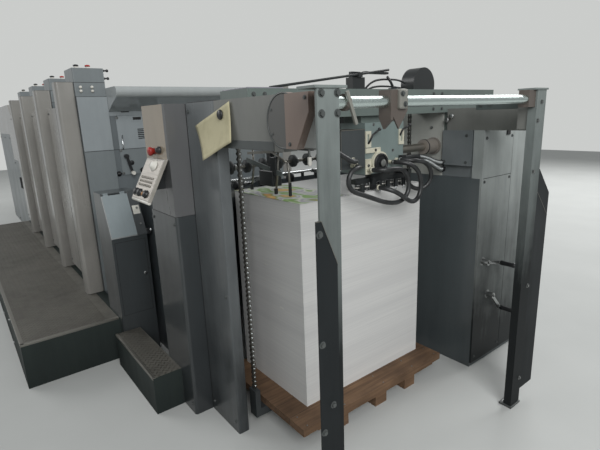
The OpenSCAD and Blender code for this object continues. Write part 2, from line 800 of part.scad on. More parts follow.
// Roller chain: two plates with a waist between each two pins, and the pins through both
link_pitch = 25.4;
plate_r = 10;
plate_gap = 12;
plate_w = 3;
module chain(x, y) {
    count = floor((cross_z0 - chain_low - 2 * plate_r) / link_pitch);
    z0 = (cross_z0 + chain_low - count * link_pitch) / 2;
    for (side = [-plate_gap / 2 - plate_w, plate_gap / 2]) along_x(x + side, x + side + plate_w) {
        for (k = [0:count]) translate([y, z0 + k * link_pitch]) circle(plate_r, $fn = 24);
        translate([y - plate_r / 2, chain_low]) square([plate_r, cross_z0 - chain_low]);
    }
    for (k = [0:count]) bar_x(x - plate_gap / 2 - plate_w - 2, x + plate_gap / 2 + plate_w + 2, y,
        z0 + k * link_pitch, 5);
}
module hoist_chains() {
    color("#3a3c3c") for (y = [-chain_y, chain_y], x = [front_chain_x, rear_chain_x]) chain(x, y);
}
// Carriers under the board that hang from the chains
module board_carriers() {
    low = board_top - board_t - lift_t;
    color("#35393b") for (side = [-1, 1], x = [front_chain_x, rear_chain_x]) {
        side_span(side, [x - 30, lift_y, low], [x + 30, chain_y - 15, board_top - board_t]);
        side_span(side, [x - 30, chain_y - 15, low], [x + 30, chain_y + 15, chain_low]);
    }
}
board_t = 40;
board_past = 130;
board_w = 1087;
board_y0 = -571;
runner_w = 90;
module pile_board() {
    color("#6e4f33") {
        span([stack_x - sheet_l - 30, board_y0, board_top - board_t],
            [stack_x + board_past, board_y0 + board_w, board_top]);
        for (x = [stack_x - sheet_l - 10, stack_x + board_past - 60])
            span([x, board_y0 + 100, board_top - board_t - 18],
                [x + 50, board_y0 + board_w - 60, board_top - board_t]);
        for (y = [board_y0 + 226, board_y0 + 526, board_y0 + 776])
            span([stack_x - sheet_l - 20, y, 0],
                [stack_x + board_past - 20, y + runner_w, board_top - board_t]);
    }
}
module paper_stack() {
    color("#dcdcda") span([stack_x - sheet_l, -sheet_w / 2, board_top], [stack_x, sheet_w / 2, stack_top]);
}

press_base();
unit_towers();
unit_covers();
control_blocks();
control_buttons();
intake_panels();
infeed_guard();
throw_lever();
throw_knob();
delivery_base();
delivery_sides();
delivery_hood();
delivery_window();
delivery_stack();
operator_platform();
step_box();
console();
console_lid();
feed_board();
feed_tapes();
feed_frame();
operator_column();
operator_side_box();
column_head();
column_light_panel();
control_panel();
panel_arm();
operator_top_beam();
beam_end_cover();
front_posts();
post_plates();
front_rail();
rail_bracket();
drive_top_beam();
drive_cabinet();
cabinet_end_cover();
drive_upper_housing();
drive_inner_wall();
upper_crank();
lower_crank();
head_cross_beam();
beam_gear();
separator_frame();
suction_head();
suction_head_cover();
head_fittings();
head_wheel();
shaft_sleeve();
head_shaft();
sucker_bar();
hose_1();
hose_2();
hose_3();
hose_4();
hoist_chains();
board_carriers();
pile_board();
paper_stack();
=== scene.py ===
import math

import bmesh
import bpy
from mathutils import Matrix, Vector


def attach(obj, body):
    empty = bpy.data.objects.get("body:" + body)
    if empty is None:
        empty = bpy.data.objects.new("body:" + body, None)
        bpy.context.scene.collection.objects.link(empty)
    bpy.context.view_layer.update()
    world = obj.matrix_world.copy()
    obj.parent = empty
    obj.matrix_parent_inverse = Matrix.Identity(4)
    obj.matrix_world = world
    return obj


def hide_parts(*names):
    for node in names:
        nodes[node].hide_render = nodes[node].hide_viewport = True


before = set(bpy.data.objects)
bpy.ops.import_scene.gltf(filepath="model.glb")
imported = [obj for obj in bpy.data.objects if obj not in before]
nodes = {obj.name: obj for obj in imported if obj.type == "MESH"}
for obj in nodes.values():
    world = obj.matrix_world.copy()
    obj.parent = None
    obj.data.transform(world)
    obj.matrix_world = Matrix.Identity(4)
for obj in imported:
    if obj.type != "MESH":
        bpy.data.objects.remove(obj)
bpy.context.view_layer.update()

# ---- Camera, floor and light ----
# The camera stands at the operator's side of the feeder, a little over the stack, and looks along
# the press to the drive side. The floor is plain and pale, and three large soft lamps light the press.


def linear(code):
    """Turn an sRGB hex code into a linear colour."""
    parts = [int(code[i:i + 2], 16) / 255 for i in (1, 3, 5)]
    return [c / 12.92 if c <= 0.04045 else ((c + 0.055) / 1.055) ** 2.4 for c in parts] + [1.0]


def add(tree, kind, sockets=None, **settings):
    """Add a node with its settings, and give each of its inputs a value or a link."""
    node = tree.nodes.new(kind)
    for name, value in settings.items():
        setattr(node, name, value)
    for name, value in (sockets or {}).items():
        if isinstance(value, bpy.types.NodeSocket):
            tree.links.new(value, node.inputs[name])
        else:
            node.inputs[name].default_value = value
    return node


def new_surface(name):
    """Start a node material and return it with its tree and its output node."""
    surface = bpy.data.materials.new(name)
    surface.use_nodes = True
    surface.node_tree.nodes.clear()
    return surface, surface.node_tree, surface.node_tree.nodes.new("ShaderNodeOutputMaterial")


def two_tones(tree, factor, first, second, low, high):
    """Colour ramp from one hex colour to another between two values of a factor."""
    ramp = add(tree, "ShaderNodeValToRGB", {"Fac": factor})
    ends = ramp.color_ramp.elements
    ends[0].position, ends[0].color = low, linear(first)
    ends[1].position, ends[1].color = high, linear(second)
    return ramp.outputs["Color"]


view_yaw, view_pitch, view_roll = math.radians(52.46), math.radians(13.85), math.radians(-2.148)
ahead = Vector((-math.sin(view_yaw) * math.cos(view_pitch), math.cos(view_yaw) * math.cos(view_pitch),
                -math.sin(view_pitch)))
level_right = Vector((math.cos(view_yaw), math.sin(view_yaw), 0))
level_up = level_right.cross(ahead)
right = level_right * math.cos(view_roll) + level_up * math.sin(view_roll)
up = level_up * math.cos(view_roll) - level_right * math.sin(view_roll)
lens = bpy.data.cameras.new("camera")
lens.sensor_fit = "HORIZONTAL"
lens.sensor_width = 36.0
lens.lens = 26.8
camera = bpy.data.objects.new("camera", lens)
turn = Matrix((right, up, -ahead)).transposed().to_4x4()
camera.matrix_world = Matrix.Translation((4.06, -1.685, 1.607)) @ turn
bpy.context.scene.collection.objects.link(camera)
bpy.context.scene.camera = camera
bpy.context.scene.view_settings.view_transform = "Standard"


def keep(mesh, name, surface, body="press", smooth=False):
    """Turn a bmesh into a piece of the object, with one material, that rides on a body."""
    bmesh.ops.recalc_face_normals(mesh, faces=mesh.faces)
    data = bpy.data.meshes.new(name)
    mesh.to_mesh(data)
    mesh.free()
    data.materials.append(surface)
    for face in data.polygons:
        face.use_smooth = smooth
    piece = bpy.data.objects.new(name, data)
    bpy.context.scene.collection.objects.link(piece)
    if body:
        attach(piece, body)
    return piece


# Sealed concrete, swept clean: broad, faint clouds about half a metre wide
floor_finish, tree, out = new_surface("pale sealed concrete")
clouds = add(tree, "ShaderNodeTexNoise", {"Vector": add(tree, "ShaderNodeTexCoord").outputs["Object"], "Scale": 1.8,
                                          "Detail": 5.0})
shade = add(tree, "ShaderNodeBsdfPrincipled", {
    "Base Color": two_tones(tree, clouds.outputs["Fac"], "#b8bab8", "#bdbfbd", 0.3, 0.7), "Roughness": 0.8})
# The camera sees the floor pale, while it throws little light back up, as a darker one would
bounce = add(tree, "ShaderNodeBsdfPrincipled", {"Base Color": linear("#5c5f5c"), "Roughness": 0.9})
picked = add(tree, "ShaderNodeMixShader", {0: add(tree, "ShaderNodeLightPath").outputs["Is Diffuse Ray"],
                                           1: shade.outputs[0], 2: bounce.outputs[0]})
tree.links.new(picked.outputs[0], out.inputs["Surface"])
plain_floor = bmesh.new()
plain_floor.faces.new([plain_floor.verts.new(p) for p in ((-16, -14, 0), (14, -14, 0), (14, 16, 0), (-16, 16, 0))])
keep(plain_floor, "floor", floor_finish, body=None)

world = bpy.data.worlds.new("pale room")
bpy.context.scene.world = world
world.use_nodes = True
tree = world.node_tree
tree.nodes.clear()
ray = add(tree, "ShaderNodeLightPath")
seen = add(tree, "ShaderNodeMath", {0: ray.outputs["Is Camera Ray"], 1: ray.outputs["Is Transmission Ray"]},
           operation="MAXIMUM")
plain = add(tree, "ShaderNodeBackground", {"Color": linear("#c9cccc"), "Strength": 0.6})
backdrop = add(tree, "ShaderNodeBackground", {"Color": linear("#d4d6d4"), "Strength": 0.9})
both = add(tree, "ShaderNodeMixShader", {0: seen.outputs[0], 1: plain.outputs[0], 2: backdrop.outputs[0]})
tree.links.new(both.outputs[0], add(tree, "ShaderNodeOutputWorld").inputs["Surface"])

for name, spot, target, size, power in (
        ("window light", (1.5, 9.0, 6.5), (1.5, 0.5, 0.8), 7.0, 700),
        ("room light", (8.5, -3.0, 5.0), (1.5, 0.0, 0.9), 4.5, 440),
        ("far light", (-8.0, -6.5, 6.5), (-2.5, 0.0, 0.9), 6.0, 420)):
    lamp = bpy.data.lights.new(name, "AREA")
    lamp.shape = "SQUARE"
    lamp.size = size
    lamp.energy = power
    lamp_object = bpy.data.objects.new(name, lamp)
    aim = Vector(target) - Vector(spot)
    lamp_object.matrix_world = Matrix.Translation(spot) @ aim.to_track_quat("-Z", "Y").to_matrix().to_4x4()
    bpy.context.scene.collection.objects.link(lamp_object)

# ---- Air hoses ----
# Four hoses of black rubber, 24 mm thick, carry blast and suction air from the head to the suckers.
# They push onto short stubs under steel clips, and hang in loose loops before the stack.


def on_curve(a, b, c, d, t):
    """Point at t on the smooth curve through four points."""
    return 0.5 * (2 * b + (c - a) * t + (2 * a - 5 * b + 4 * c - d) * t * t
                  + (3 * b - a - 3 * c + d) * t * t * t)


def smooth_route(points, steps):
    """Route through the points, with a number of steps between each two."""
    points = [Vector(p) for p in points]
    last = len(points) - 1
    route = [on_curve(points[max(i - 1, 0)], points[i], points[i + 1], points[min(i + 2, last)], k / steps)
             for i in range(last) for k in range(steps)]
    return route + [points[last]]


def tube(name, route, radius, surface, first=None, last=None, sides=16, rib=0.0, ribs_every=1.0, body="press"):
    """Sweep a round tube along a route in metres, closed at both ends, with rings where a rib is given."""
    headings = [(route[min(i + 1, len(route) - 1)] - route[max(i - 1, 0)]).normalized()
                for i in range(len(route))]
    headings[0] = Vector(first) if first else headings[0]
    headings[-1] = Vector(last) if last else headings[-1]
    side = headings[0].orthogonal().normalized()
    mesh, rings, along = bmesh.new(), [], 0.0
    for i, (point, heading) in enumerate(zip(route, headings)):
        side = (side - heading * side.dot(heading)).normalized()
        other = heading.cross(side)
        along += (point - route[i - 1]).length if i else 0.0
        reach = radius + rib * math.cos(2 * math.pi * along / ribs_every)
        rings.append([mesh.verts.new(point + reach * (math.cos(2 * math.pi * k / sides) * side
                                                      + math.sin(2 * math.pi * k / sides) * other))
                      for k in range(sides)])
    for a, b in zip(rings, rings[1:]):
        for k in range(sides):
            mesh.faces.new((a[k], a[(k + 1) % sides], b[(k + 1) % sides], b[k]))
    mesh.faces.new(rings[0][::-1])
    mesh.faces.new(rings[-1])
    return keep(mesh, name, surface, body, smooth=True)


# Extruded rubber: a soft dark sheen with a dusty bloom in spots about 20 mm wide
hose_rubber, tree, out = new_surface("extruded black rubber")
bloom = add(tree, "ShaderNodeTexNoise", {"Vector": add(tree, "ShaderNodeTexCoord").outputs["Object"], "Scale": 22.0,
                                         "Detail": 4.0})
shade = add(tree, "ShaderNodeBsdfPrincipled", {
    "Base Color": two_tones(tree, bloom.outputs["Fac"], "#1b1c1d", "#3a3c3d", 0.35, 0.75), "Roughness": 0.36})
tree.links.new(shade.outputs[0], out.inputs["Surface"])

stub_end = 2474
hose_diameter = 0.024
# Points along each hose in mm, their X counted from the ends of the stubs, and its last heading
hose_routes = {
    "hose_1": ((-1, 0, 0), [
        (0, 5, 1320), (36, 15, 1320), (62, 41, 1320), (72, 77, 1320), (72, 125, 1319), (72, 173, 1306),
        (72, 208, 1271), (72, 221, 1224), (72, 211, 1183), (72, 181, 1154), (72, 140, 1143), (72, 90, 1145),
        (72, 26, 1159), (72, -44, 1184), (72, -106, 1208), (72, -150, 1224), (72, -185, 1238),
        (72, -210, 1256), (72, -223, 1283), (72, -220, 1311), (72, -204, 1334), (71, -180, 1347),
        (63, -149, 1350), (41, -121, 1350), (12, -110, 1350), (0, -109, 1350)]),
    "hose_2": ((-1, 0, 0), [
        (0, 172, 1345), (36, 179, 1345), (66, 199, 1341), (90, 229, 1325), (100, 260, 1294),
        (102, 280, 1250), (102, 284, 1206), (102, 273, 1168), (104, 250, 1146), (105, 220, 1138),
        (103, 186, 1147), (98, 150, 1170), (88, 112, 1196), (76, 85, 1210), (54, 65, 1219), (24, 58, 1223),
        (0, 57, 1223)]),
    "hose_3": ((0, 0, 1), [
        (0, 225, 1352), (36, 235, 1351), (62, 261, 1349), (72, 297, 1344), (72, 340, 1335), (72, 382, 1312),
        (72, 410, 1274), (70, 411, 1234), (60, 395, 1201), (44, 366, 1183), (26, 334, 1185), (8, 309, 1206),
        (0, 300, 1238)]),
    "hose_4": ((-1, 0, 0), [
        (0, -130, 1380), (36, -140, 1380), (62, -166, 1381), (72, -202, 1388), (70, -240, 1406),
        (68, -277, 1427), (60, -303, 1441), (38, -323, 1451), (10, -330, 1455), (0, -330, 1455)]),
}
for name, (last_heading, points) in hose_routes.items():
    route = smooth_route([Vector((stub_end + x, y, z)) / 1000 for x, y, z in points], 2)
    hose = tube(f"air_{name}", route, hose_diameter / 2, hose_rubber, (1, 0, 0), last_heading)
    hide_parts(name)

# ---- Printing units ----
# Four closed towers of cast iron stand on one base. Tall corner covers, flat doors and a control block
# are of steel sheet, sprayed with machine enamel and screwed on.


def enamel(name, colour, dark, rough=0.34, peel_mm=2.2, dirt_and_shade_contrast=0.5, coat=0.25, grime_and_shade_height=0.7, grime_and_shade_depth=0.28, shine=0.5):
    """Sprayed machine enamel: dust, smears, a fine peel, and grime and painted shade up to a height in metres."""
    surface, tree, out = new_surface(name)
    spot = add(tree, "ShaderNodeTexCoord").outputs["Object"]
    cloud = add(tree, "ShaderNodeTexNoise", {"Vector": spot, "Scale": 2.3, "Detail": 6.0, "Roughness": 0.62})
    streak_space = add(tree, "ShaderNodeMapping", {"Vector": spot, "Scale": (9.0, 9.0, 1.1)})
    streak = add(tree, "ShaderNodeTexNoise", {"Vector": streak_space.outputs[0], "Scale": 1.0, "Detail": 5.0,
                                              "Roughness": 0.7})
    mixed = add(tree, "ShaderNodeMath", {0: cloud.outputs["Fac"], 1: streak.outputs["Fac"]}, operation="MULTIPLY")
    height = add(tree, "ShaderNodeSeparateXYZ", {0: spot})
    # Darker towards the floor: partly grime, partly painted shade where the height and depth are large
    low = add(tree, "ShaderNodeMapRange", {"Value": height.outputs["Z"], "From Min": 0.0, "From Max": grime_and_shade_height,
                                           "To Min": grime_and_shade_depth, "To Max": 0.0})
    dirt_and_shade = add(tree, "ShaderNodeMath", {0: mixed.outputs[0], 1: low.outputs[0]}, operation="ADD")
    gloss = add(tree, "ShaderNodeMapRange", {"Value": dirt_and_shade.outputs[0], "From Min": 0.1, "From Max": 0.6,
                                             "To Min": rough, "To Max": rough + 0.22})
    # Noise repeats about six times within its scale of one metre
    peel = add(tree, "ShaderNodeTexNoise", {"Vector": spot, "Scale": 1000 / peel_mm / 6, "Detail": 2.0})
    bump = add(tree, "ShaderNodeBump", {"Height": peel.outputs["Fac"], "Strength": 0.06, "Distance": 0.0006})
    shade = add(tree, "ShaderNodeBsdfPrincipled", {
        "Base Color": two_tones(tree, dirt_and_shade.outputs[0], colour, dark, 0.16, 0.16 + 0.55 / max(dirt_and_shade_contrast, 0.05)),
        "Roughness": gloss.outputs[0], "Normal": bump.outputs[0], "Coat Weight": coat, "Coat Roughness": 0.16,
        "Specular IOR Level": shine})
    tree.links.new(shade.outputs[0], out.inputs["Surface"])
    return surface


def moulded(name, colour, dark, rough=0.4):
    """Moulded plastic: even colour with a little wear, and a fine spark-eroded grain of about 0.5 mm."""
    surface, tree, out = new_surface(name)
    spot = add(tree, "ShaderNodeTexCoord").outputs["Object"]
    wear = add(tree, "ShaderNodeTexNoise", {"Vector": spot, "Scale": 18.0, "Detail": 4.0})
    grain = add(tree, "ShaderNodeTexNoise", {"Vector": spot, "Scale": 340.0, "Detail": 1.0})
    bump = add(tree, "ShaderNodeBump", {"Height": grain.outputs["Fac"], "Strength": 0.08, "Distance": 0.0003})
    shade = add(tree, "ShaderNodeBsdfPrincipled", {
        "Base Color": two_tones(tree, wear.outputs["Fac"], colour, dark, 0.45, 0.85), "Roughness": rough,
        "Normal": bump.outputs[0]})
    tree.links.new(shade.outputs[0], out.inputs["Surface"])
    return surface


def steel(name, colour, rough, scratch_mm=1.5):
    """Bright metal with fine scratches and a film of oil."""
    surface, tree, out = new_surface(name)
    spot = add(tree, "ShaderNodeTexCoord").outputs["Object"]
    stretched = add(tree, "ShaderNodeMapping", {"Vector": spot, "Scale": (1.0, 12.0, 12.0)})
    line = add(tree, "ShaderNodeTexNoise", {"Vector": stretched.outputs[0], "Scale": 100 / scratch_mm,
                                            "Detail": 3.0})
    gloss = add(tree, "ShaderNodeMapRange", {"Value": line.outputs["Fac"], "From Min": 0.3, "From Max": 0.7,
                                             "To Min": rough, "To Max": rough + 0.15})
    shade = add(tree, "ShaderNodeBsdfPrincipled", {"Base Color": linear(colour), "Metallic": 1.0,
                                                   "Roughness": gloss.outputs[0]})
    tree.links.new(shade.outputs[0], out.inputs["Surface"])
    return surface


def dress(surface, *names):
    """Give CAD nodes their finish."""
    for name in names:
        slots = nodes[name].data.materials
        slots.clear()
        slots.append(surface)


def boxes(name, corners, surface, edge_mm=1.5, body="press", place=None):
    """Boxes with broken edges, each given by its two corners in mm, joined in one piece."""
    mesh = bmesh.new()
    for corner in corners:
        low, high = Vector(corner[:3]) / 1000, Vector(corner[3:]) / 1000
        size = high - low
        made = bmesh.ops.create_cube(mesh, size=1.0, matrix=Matrix.Translation((low + high) / 2)
                                     @ Matrix.Diagonal((*size, 1.0)))
        edges = list({edge for vertex in made["verts"] for edge in vertex.link_edges})
        bmesh.ops.bevel(mesh, geom=edges, offset=min(edge_mm / 1000, min(size) * 0.3), segments=2, profile=0.5,
                        affect="EDGES")
    if place:
        bmesh.ops.transform(mesh, matrix=place, verts=mesh.verts)
    return keep(mesh, name, surface, body)


def turned(name, profile, spots, surface, axis="X", sides=24, body="press", place=None):
    """Turn a profile of radius and height in mm about an axis, once at each spot in mm.

    A profile that neither starts nor ends on the axis is closed to a ring.
    """
    mesh = bmesh.new()
    stand = {"X": Matrix.Rotation(math.pi / 2, 4, "Y"), "Y": Matrix.Rotation(-math.pi / 2, 4, "X"),
             "Z": Matrix.Identity(4), "-X": Matrix.Rotation(-math.pi / 2, 4, "Y"),
             "-Y": Matrix.Rotation(math.pi / 2, 4, "X")}[axis]
    for spot in spots:
        move = Matrix.Translation(Vector(spot) / 1000) @ stand
        rings = []
        for radius, height in profile:
            around = 1 if radius == 0 else sides
            rings.append([mesh.verts.new(move @ (Vector((radius * math.cos(2 * math.pi * k / sides),
                                                         radius * math.sin(2 * math.pi * k / sides), height))
                                                 / 1000)) for k in range(around)])
        closed = profile[0][0] > 0 and profile[-1][0] > 0
        for a, b in zip(rings, rings[1:] + rings[:1] if closed else rings[1:]):
            for k in range(sides):
                corner = (a[k % len(a)], a[(k + 1) % len(a)], b[(k + 1) % len(b)], b[k % len(b)])
                mesh.faces.new(list(dict.fromkeys(corner)))
        for ring in (rings[0][::-1], rings[-1]):
            if len(ring) > 2 and not closed:
                mesh.faces.new(ring)
    if place:
        bmesh.ops.transform(mesh, matrix=place, verts=mesh.verts)
    return keep(mesh, name, surface, body, smooth=True)


def fastener_tree():
    """Geometry Nodes tree that sets a hexagon head with a washer on each point, along its own normal."""
    tree = bpy.data.node_groups.new("fasteners", "GeometryNodeTree")
    tree.interface.new_socket("Points", in_out="INPUT", socket_type="NodeSocketGeometry")
    for label, default in (("Head Width", 0.013), ("Head Height", 0.006)):
        tree.interface.new_socket(label, in_out="INPUT", socket_type="NodeSocketFloat").default_value = default
    tree.interface.new_socket("Finish", in_out="INPUT", socket_type="NodeSocketMaterial")
    tree.interface.new_socket("Fasteners", in_out="OUTPUT", socket_type="NodeSocketGeometry")
    given = add(tree, "NodeGroupInput")
    half = add(tree, "ShaderNodeMath", {0: given.outputs["Head Width"], 1: 0.5}, operation="MULTIPLY")
    washer = add(tree, "ShaderNodeMath", {0: given.outputs["Head Width"], 1: 0.75}, operation="MULTIPLY")
    head = add(tree, "GeometryNodeMeshCylinder", {"Vertices": 6, "Radius": half.outputs[0],
                                                  "Depth": given.outputs["Head Height"]})
    plate = add(tree, "GeometryNodeMeshCylinder", {"Vertices": 14, "Radius": washer.outputs[0], "Depth": 0.002})
    raised = add(tree, "GeometryNodeTransform", {
        "Geometry": head.outputs["Mesh"],
        "Translation": add(tree, "ShaderNodeCombineXYZ", {
            "Z": add(tree, "ShaderNodeMath", {0: given.outputs["Head Height"], 1: 0.5},
                     operation="MULTIPLY").outputs[0]}).outputs[0]})
    pair = add(tree, "GeometryNodeJoinGeometry")
    tree.links.new(raised.outputs["Geometry"], pair.inputs["Geometry"])
    tree.links.new(plate.outputs["Mesh"], pair.inputs["Geometry"])
    facing = add(tree, "GeometryNodeInputNamedAttribute", {"Name": "facing"}, data_type="FLOAT_VECTOR")
    turn = add(tree, "FunctionNodeAlignRotationToVector", {"Vector": facing.outputs["Attribute"]}, axis="Z")
    placed = add(tree, "GeometryNodeInstanceOnPoints", {
        "Points": given.outputs["Points"], "Instance": pair.outputs[0], "Rotation": turn.outputs[0]})
    solid = add(tree, "GeometryNodeRealizeInstances", {"Geometry": placed.outputs[0]})
    finished = add(tree, "GeometryNodeSetMaterial", {"Geometry": solid.outputs[0],
                                                     "Material": given.outputs["Finish"]})
    result = add(tree, "NodeGroupOutput")
    tree.links.new(finished.outputs[0], result.inputs["Fasteners"])
    return tree


fastener_nodes = fastener_tree()


def grown(name, tree, points, facings, values, body="press"):
    """Run a Geometry Nodes tree on points in mm that each face their own way, and keep the plain mesh."""
    mesh = bpy.data.meshes.new(name)
    mesh.from_pydata([Vector(p) / 1000 for p in points], [], [])
    facing = mesh.attributes.new("facing", "FLOAT_VECTOR", "POINT")
    for i, way in enumerate(facings):
        facing.data[i].vector = way
    seed = bpy.data.objects.new(f"{name}_seed", mesh)
    bpy.context.scene.collection.objects.link(seed)
    modifier = seed.modifiers.new("grow", "NODES")
    modifier.node_group = tree
    for socket in tree.interface.items_tree:
        if socket.in_out == "INPUT" and socket.name in values:
            modifier[socket.identifier] = values[socket.name]
    ready = seed.evaluated_get(bpy.context.evaluated_depsgraph_get())
    plain_mesh = bpy.data.meshes.new_from_object(ready)
    bpy.data.objects.remove(seed)
    piece = bpy.data.objects.new(name, plain_mesh)
    bpy.context.scene.collection.objects.link(piece)
    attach(piece, body)
    return piece


# Zinc-plated bolts: a dull silver that oil has darkened
zinc = steel("oiled zinc plate", "#8d8f8e", 0.34)
# Bolt heads painted over with the frame
painted_bolt = enamel("painted bolt head", "#4c504f", "#2e3030", rough=0.4)


def bolts(name, spots, facing, surface=zinc, width=13.0, body="press"):
    """Hexagon heads at spots in mm, all facing one way."""
    return grown(name, fastener_nodes, spots, [facing] * len(spots),
                 {"Head Width": width / 1000, "Head Height": width * 0.45 / 1000, "Finish": surface}, body)


def drawn(name, shapes, surface, axis="Z", body="press", place=None):
    """Outlines in mm drawn out along an axis between two places, joined in one piece."""
    mesh = bmesh.new()
    spots = {"X": lambda a, b, c: (c, a, b), "Y": lambda a, b, c: (a, c, b), "Z": lambda a, b, c: (a, b, c)}[axis]
    for outline, low, high in shapes:
        first = [mesh.verts.new(Vector(spots(a, b, low)) / 1000) for a, b in outline]
        second = [mesh.verts.new(Vector(spots(a, b, high)) / 1000) for a, b in outline]
        mesh.faces.new(first[::-1])
        mesh.faces.new(second)
        for i in range(len(outline)):
            j = (i + 1) % len(outline)
            mesh.faces.new((first[i], first[j], second[j], second[i]))
    if place:
        bmesh.ops.transform(mesh, matrix=place, verts=mesh.verts)
    return keep(mesh, name, surface, body)


def round_outline(x0, y0, x1, y1, radius):
    """Rectangle with round corners."""
    return [(cx + radius * math.cos(math.radians(turn + step)), cy + radius * math.sin(math.radians(turn + step)))
            for cx, cy, turn in ((x1 - radius, y1 - radius, 0), (x0 + radius, y1 - radius, 90),
                                 (x0 + radius, y0 + radius, 180), (x1 - radius, y0 + radius, 270))
            for step in (0, 30, 60, 90)]


def rod(name, runs, radius_mm, surface, body="press", sides=10):
    """Round rods, each bent through its own points in mm, joined in one piece."""
    whole = bmesh.new()
    for run in runs:
        part = tube("run", [Vector(p) / 1000 for p in run], radius_mm / 1000, surface, sides=sides, body=None)
        whole.from_mesh(part.data)
        bpy.data.objects.remove(part)
    return keep(whole, name, surface, body, smooth=True)


def row_tree():
    """Geometry Nodes tree that sets blocks of one size along a line, each tilted, as slats or ribs."""
    tree = bpy.data.node_groups.new("row of slats", "GeometryNodeTree")
    tree.interface.new_socket("Points", in_out="INPUT", socket_type="NodeSocketGeometry")
    for label in ("Slat Size", "Pitch", "Tilt"):
        tree.interface.new_socket(label, in_out="INPUT", socket_type="NodeSocketVector")
    tree.interface.new_socket("Count", in_out="INPUT", socket_type="NodeSocketInt").default_value = 6
    tree.interface.new_socket("Finish", in_out="INPUT", socket_type="NodeSocketMaterial")
    tree.interface.new_socket("Slats", in_out="OUTPUT", socket_type="NodeSocketGeometry")
    given = add(tree, "NodeGroupInput")
    line = add(tree, "GeometryNodeMeshLine", {"Count": given.outputs["Count"], "Offset": given.outputs["Pitch"]})
    slat = add(tree, "GeometryNodeMeshCube", {"Size": given.outputs["Slat Size"]})
    tilted = add(tree, "GeometryNodeTransform", {"Geometry": slat.outputs["Mesh"],
                                                 "Rotation": given.outputs["Tilt"]})
    row = add(tree, "GeometryNodeInstanceOnPoints", {"Points": line.outputs[0], "Instance": tilted.outputs[0]})
    rows = add(tree, "GeometryNodeInstanceOnPoints", {"Points": given.outputs["Points"],
                                                      "Instance": row.outputs[0]})
    solid = add(tree, "GeometryNodeRealizeInstances", {"Geometry": rows.outputs[0]})
    finished = add(tree, "GeometryNodeSetMaterial", {"Geometry": solid.outputs[0],
                                                     "Material": given.outputs["Finish"]})
    tree.links.new(finished.outputs[0], add(tree, "NodeGroupOutput").inputs["Slats"])
    return tree


row_nodes = row_tree()


def slats(name, starts, size, pitch, count, surface, tilt=(0, 0, 0), body="press"):
    """Rows of slats, each from its own start in mm."""
    return grown(name, row_nodes, starts, [(0, 0, 1)] * len(starts), {
        "Slat Size": [s / 1000 for s in size], "Pitch": [p / 1000 for p in pitch],
        "Tilt": [math.radians(t) for t in tilt], "Count": count, "Finish": surface}, body)


dress(enamel("blue grey machine enamel", "#6a7174", "#3f4446"), "press_base", "unit_towers")
# The covers and the hood darken towards the floor up to 1.3 m: painted shade, which leaves them lighter higher up
cover_gloss = enamel("warm grey gloss enamel", "#979590", "#5b5955", rough=0.16, coat=0.8, dirt_and_shade_contrast=0.5, grime_and_shade_height=1.3,
                     grime_and_shade_depth=0.5)
dress(cover_gloss, "unit_covers", "delivery_hood")
dress(enamel("smooth grey enamel", "#7c8385", "#515658", rough=0.3), "control_blocks", "intake_panels")
# Enamel polished on the guard's round edge: it mirrors the windows
dress(enamel("pale guard enamel", "#a4a9a9", "#6f7474", rough=0.12, coat=1.0, dirt_and_shade_contrast=0.2), "infeed_guard")
black_plastic = moulded("black moulded plastic", "#1b1c1e", "#303234")
white_plastic = moulded("white moulded plastic", "#dcdad2", "#a9a69c")
red_plastic = moulded("red moulded plastic", "#a8261f", "#5d1a16")
dark_gap = moulded("black gap filler", "#131415", "#222324", rough=0.7)
bright_rod = steel("ground steel rod", "#c4c7c8", 0.14)
dress(black_plastic, "throw_lever")
dress(white_plastic, "throw_knob", "control_buttons")

unit_faces = [450 - 900 * n for n in range(4)]
block_low, block_seam = 1790, 1889
drawn("block_seams", [(round_outline(x - 257.5, -895.5, x - 1.5, -679.5, 8.5), z, z + 3)
                      for x in unit_faces for z in (block_low, block_seam)], dark_gap)
button_rows = (-855, -777)
mushroom = [(0, 0), (15, 0), (19, 4), (19, 8), (15, 12), (8, 14), (0, 15)]
turned("start_caps", mushroom, [(x - 42, button_rows[0], 2002) for x in unit_faces], black_plastic, "Z")
turned("stop_caps", mushroom, [(x - 42, button_rows[1], 2002) for x in unit_faces], red_plastic, "Z")
turned("push_caps", [(0, 0), (10.5, 0), (10.5, 3), (7, 4), (7, 7), (5, 8), (0, 8)],
       [(x + 5, y, z) for x in unit_faces for y in button_rows for z in (1830, 1857)], white_plastic, "X", 16)
turned("side_knobs", [(0, 0), (9, 0), (9, 6), (6, 9), (6, 22), (10, 24), (10, 34), (7, 38), (0, 38)],
       [(x - 20, -680, z) for x in unit_faces for z in (1976, 1921)], black_plastic, "Y", 16)
# Tall corner covers are folded sheets that hang on the frame by bolts in their edges
cover_edges = [(face - 55, side * 957) for face in unit_faces for side in (-1, 1)]
drawn("cover_lips", [(round_outline(x - 53, y - 58, x + 53, y + 58, 18), 1888, 1892) for x, y in cover_edges],
      dark_gap)
door_y = 955
handle_profile = [(-9, 0), (-9, 16), (-5, 22), (5, 22), (9, 16), (9, 0)]
for side, label in ((-1, "operator"), (1, "drive")):
    turned_out = [(a, side * (door_y + b)) for a, b in handle_profile]
    drawn(f"{label}_door_handles", [([(face - 190 + a, b) for a, b in turned_out], 1010, 1190)
                                    for face in unit_faces], black_plastic)
    bolts(f"{label}_door_bolts", [(x, side * door_y, z) for face in unit_faces for x in (face - 790, face - 140)
                                  for z in (400, 1690)], (0, side, 0), painted_bolt)
    drawn(f"{label}_door_seams", [([(face - 470, side * (door_y - 2)), (face - 467, side * (door_y - 2)),
                                    (face - 467, side * (door_y + 0.6)), (face - 470, side * (door_y + 0.6))],
                                   362, 1728) for face in unit_faces], dark_gap)
slats("drive_door_vents", [(face - 650 + 300 * k, door_y + 1, 430) for face in unit_faces for k in (0, 1)],
      (180, 6, 10), (0, 0, 22), 8, painted_bolt, (35, 0, 0))

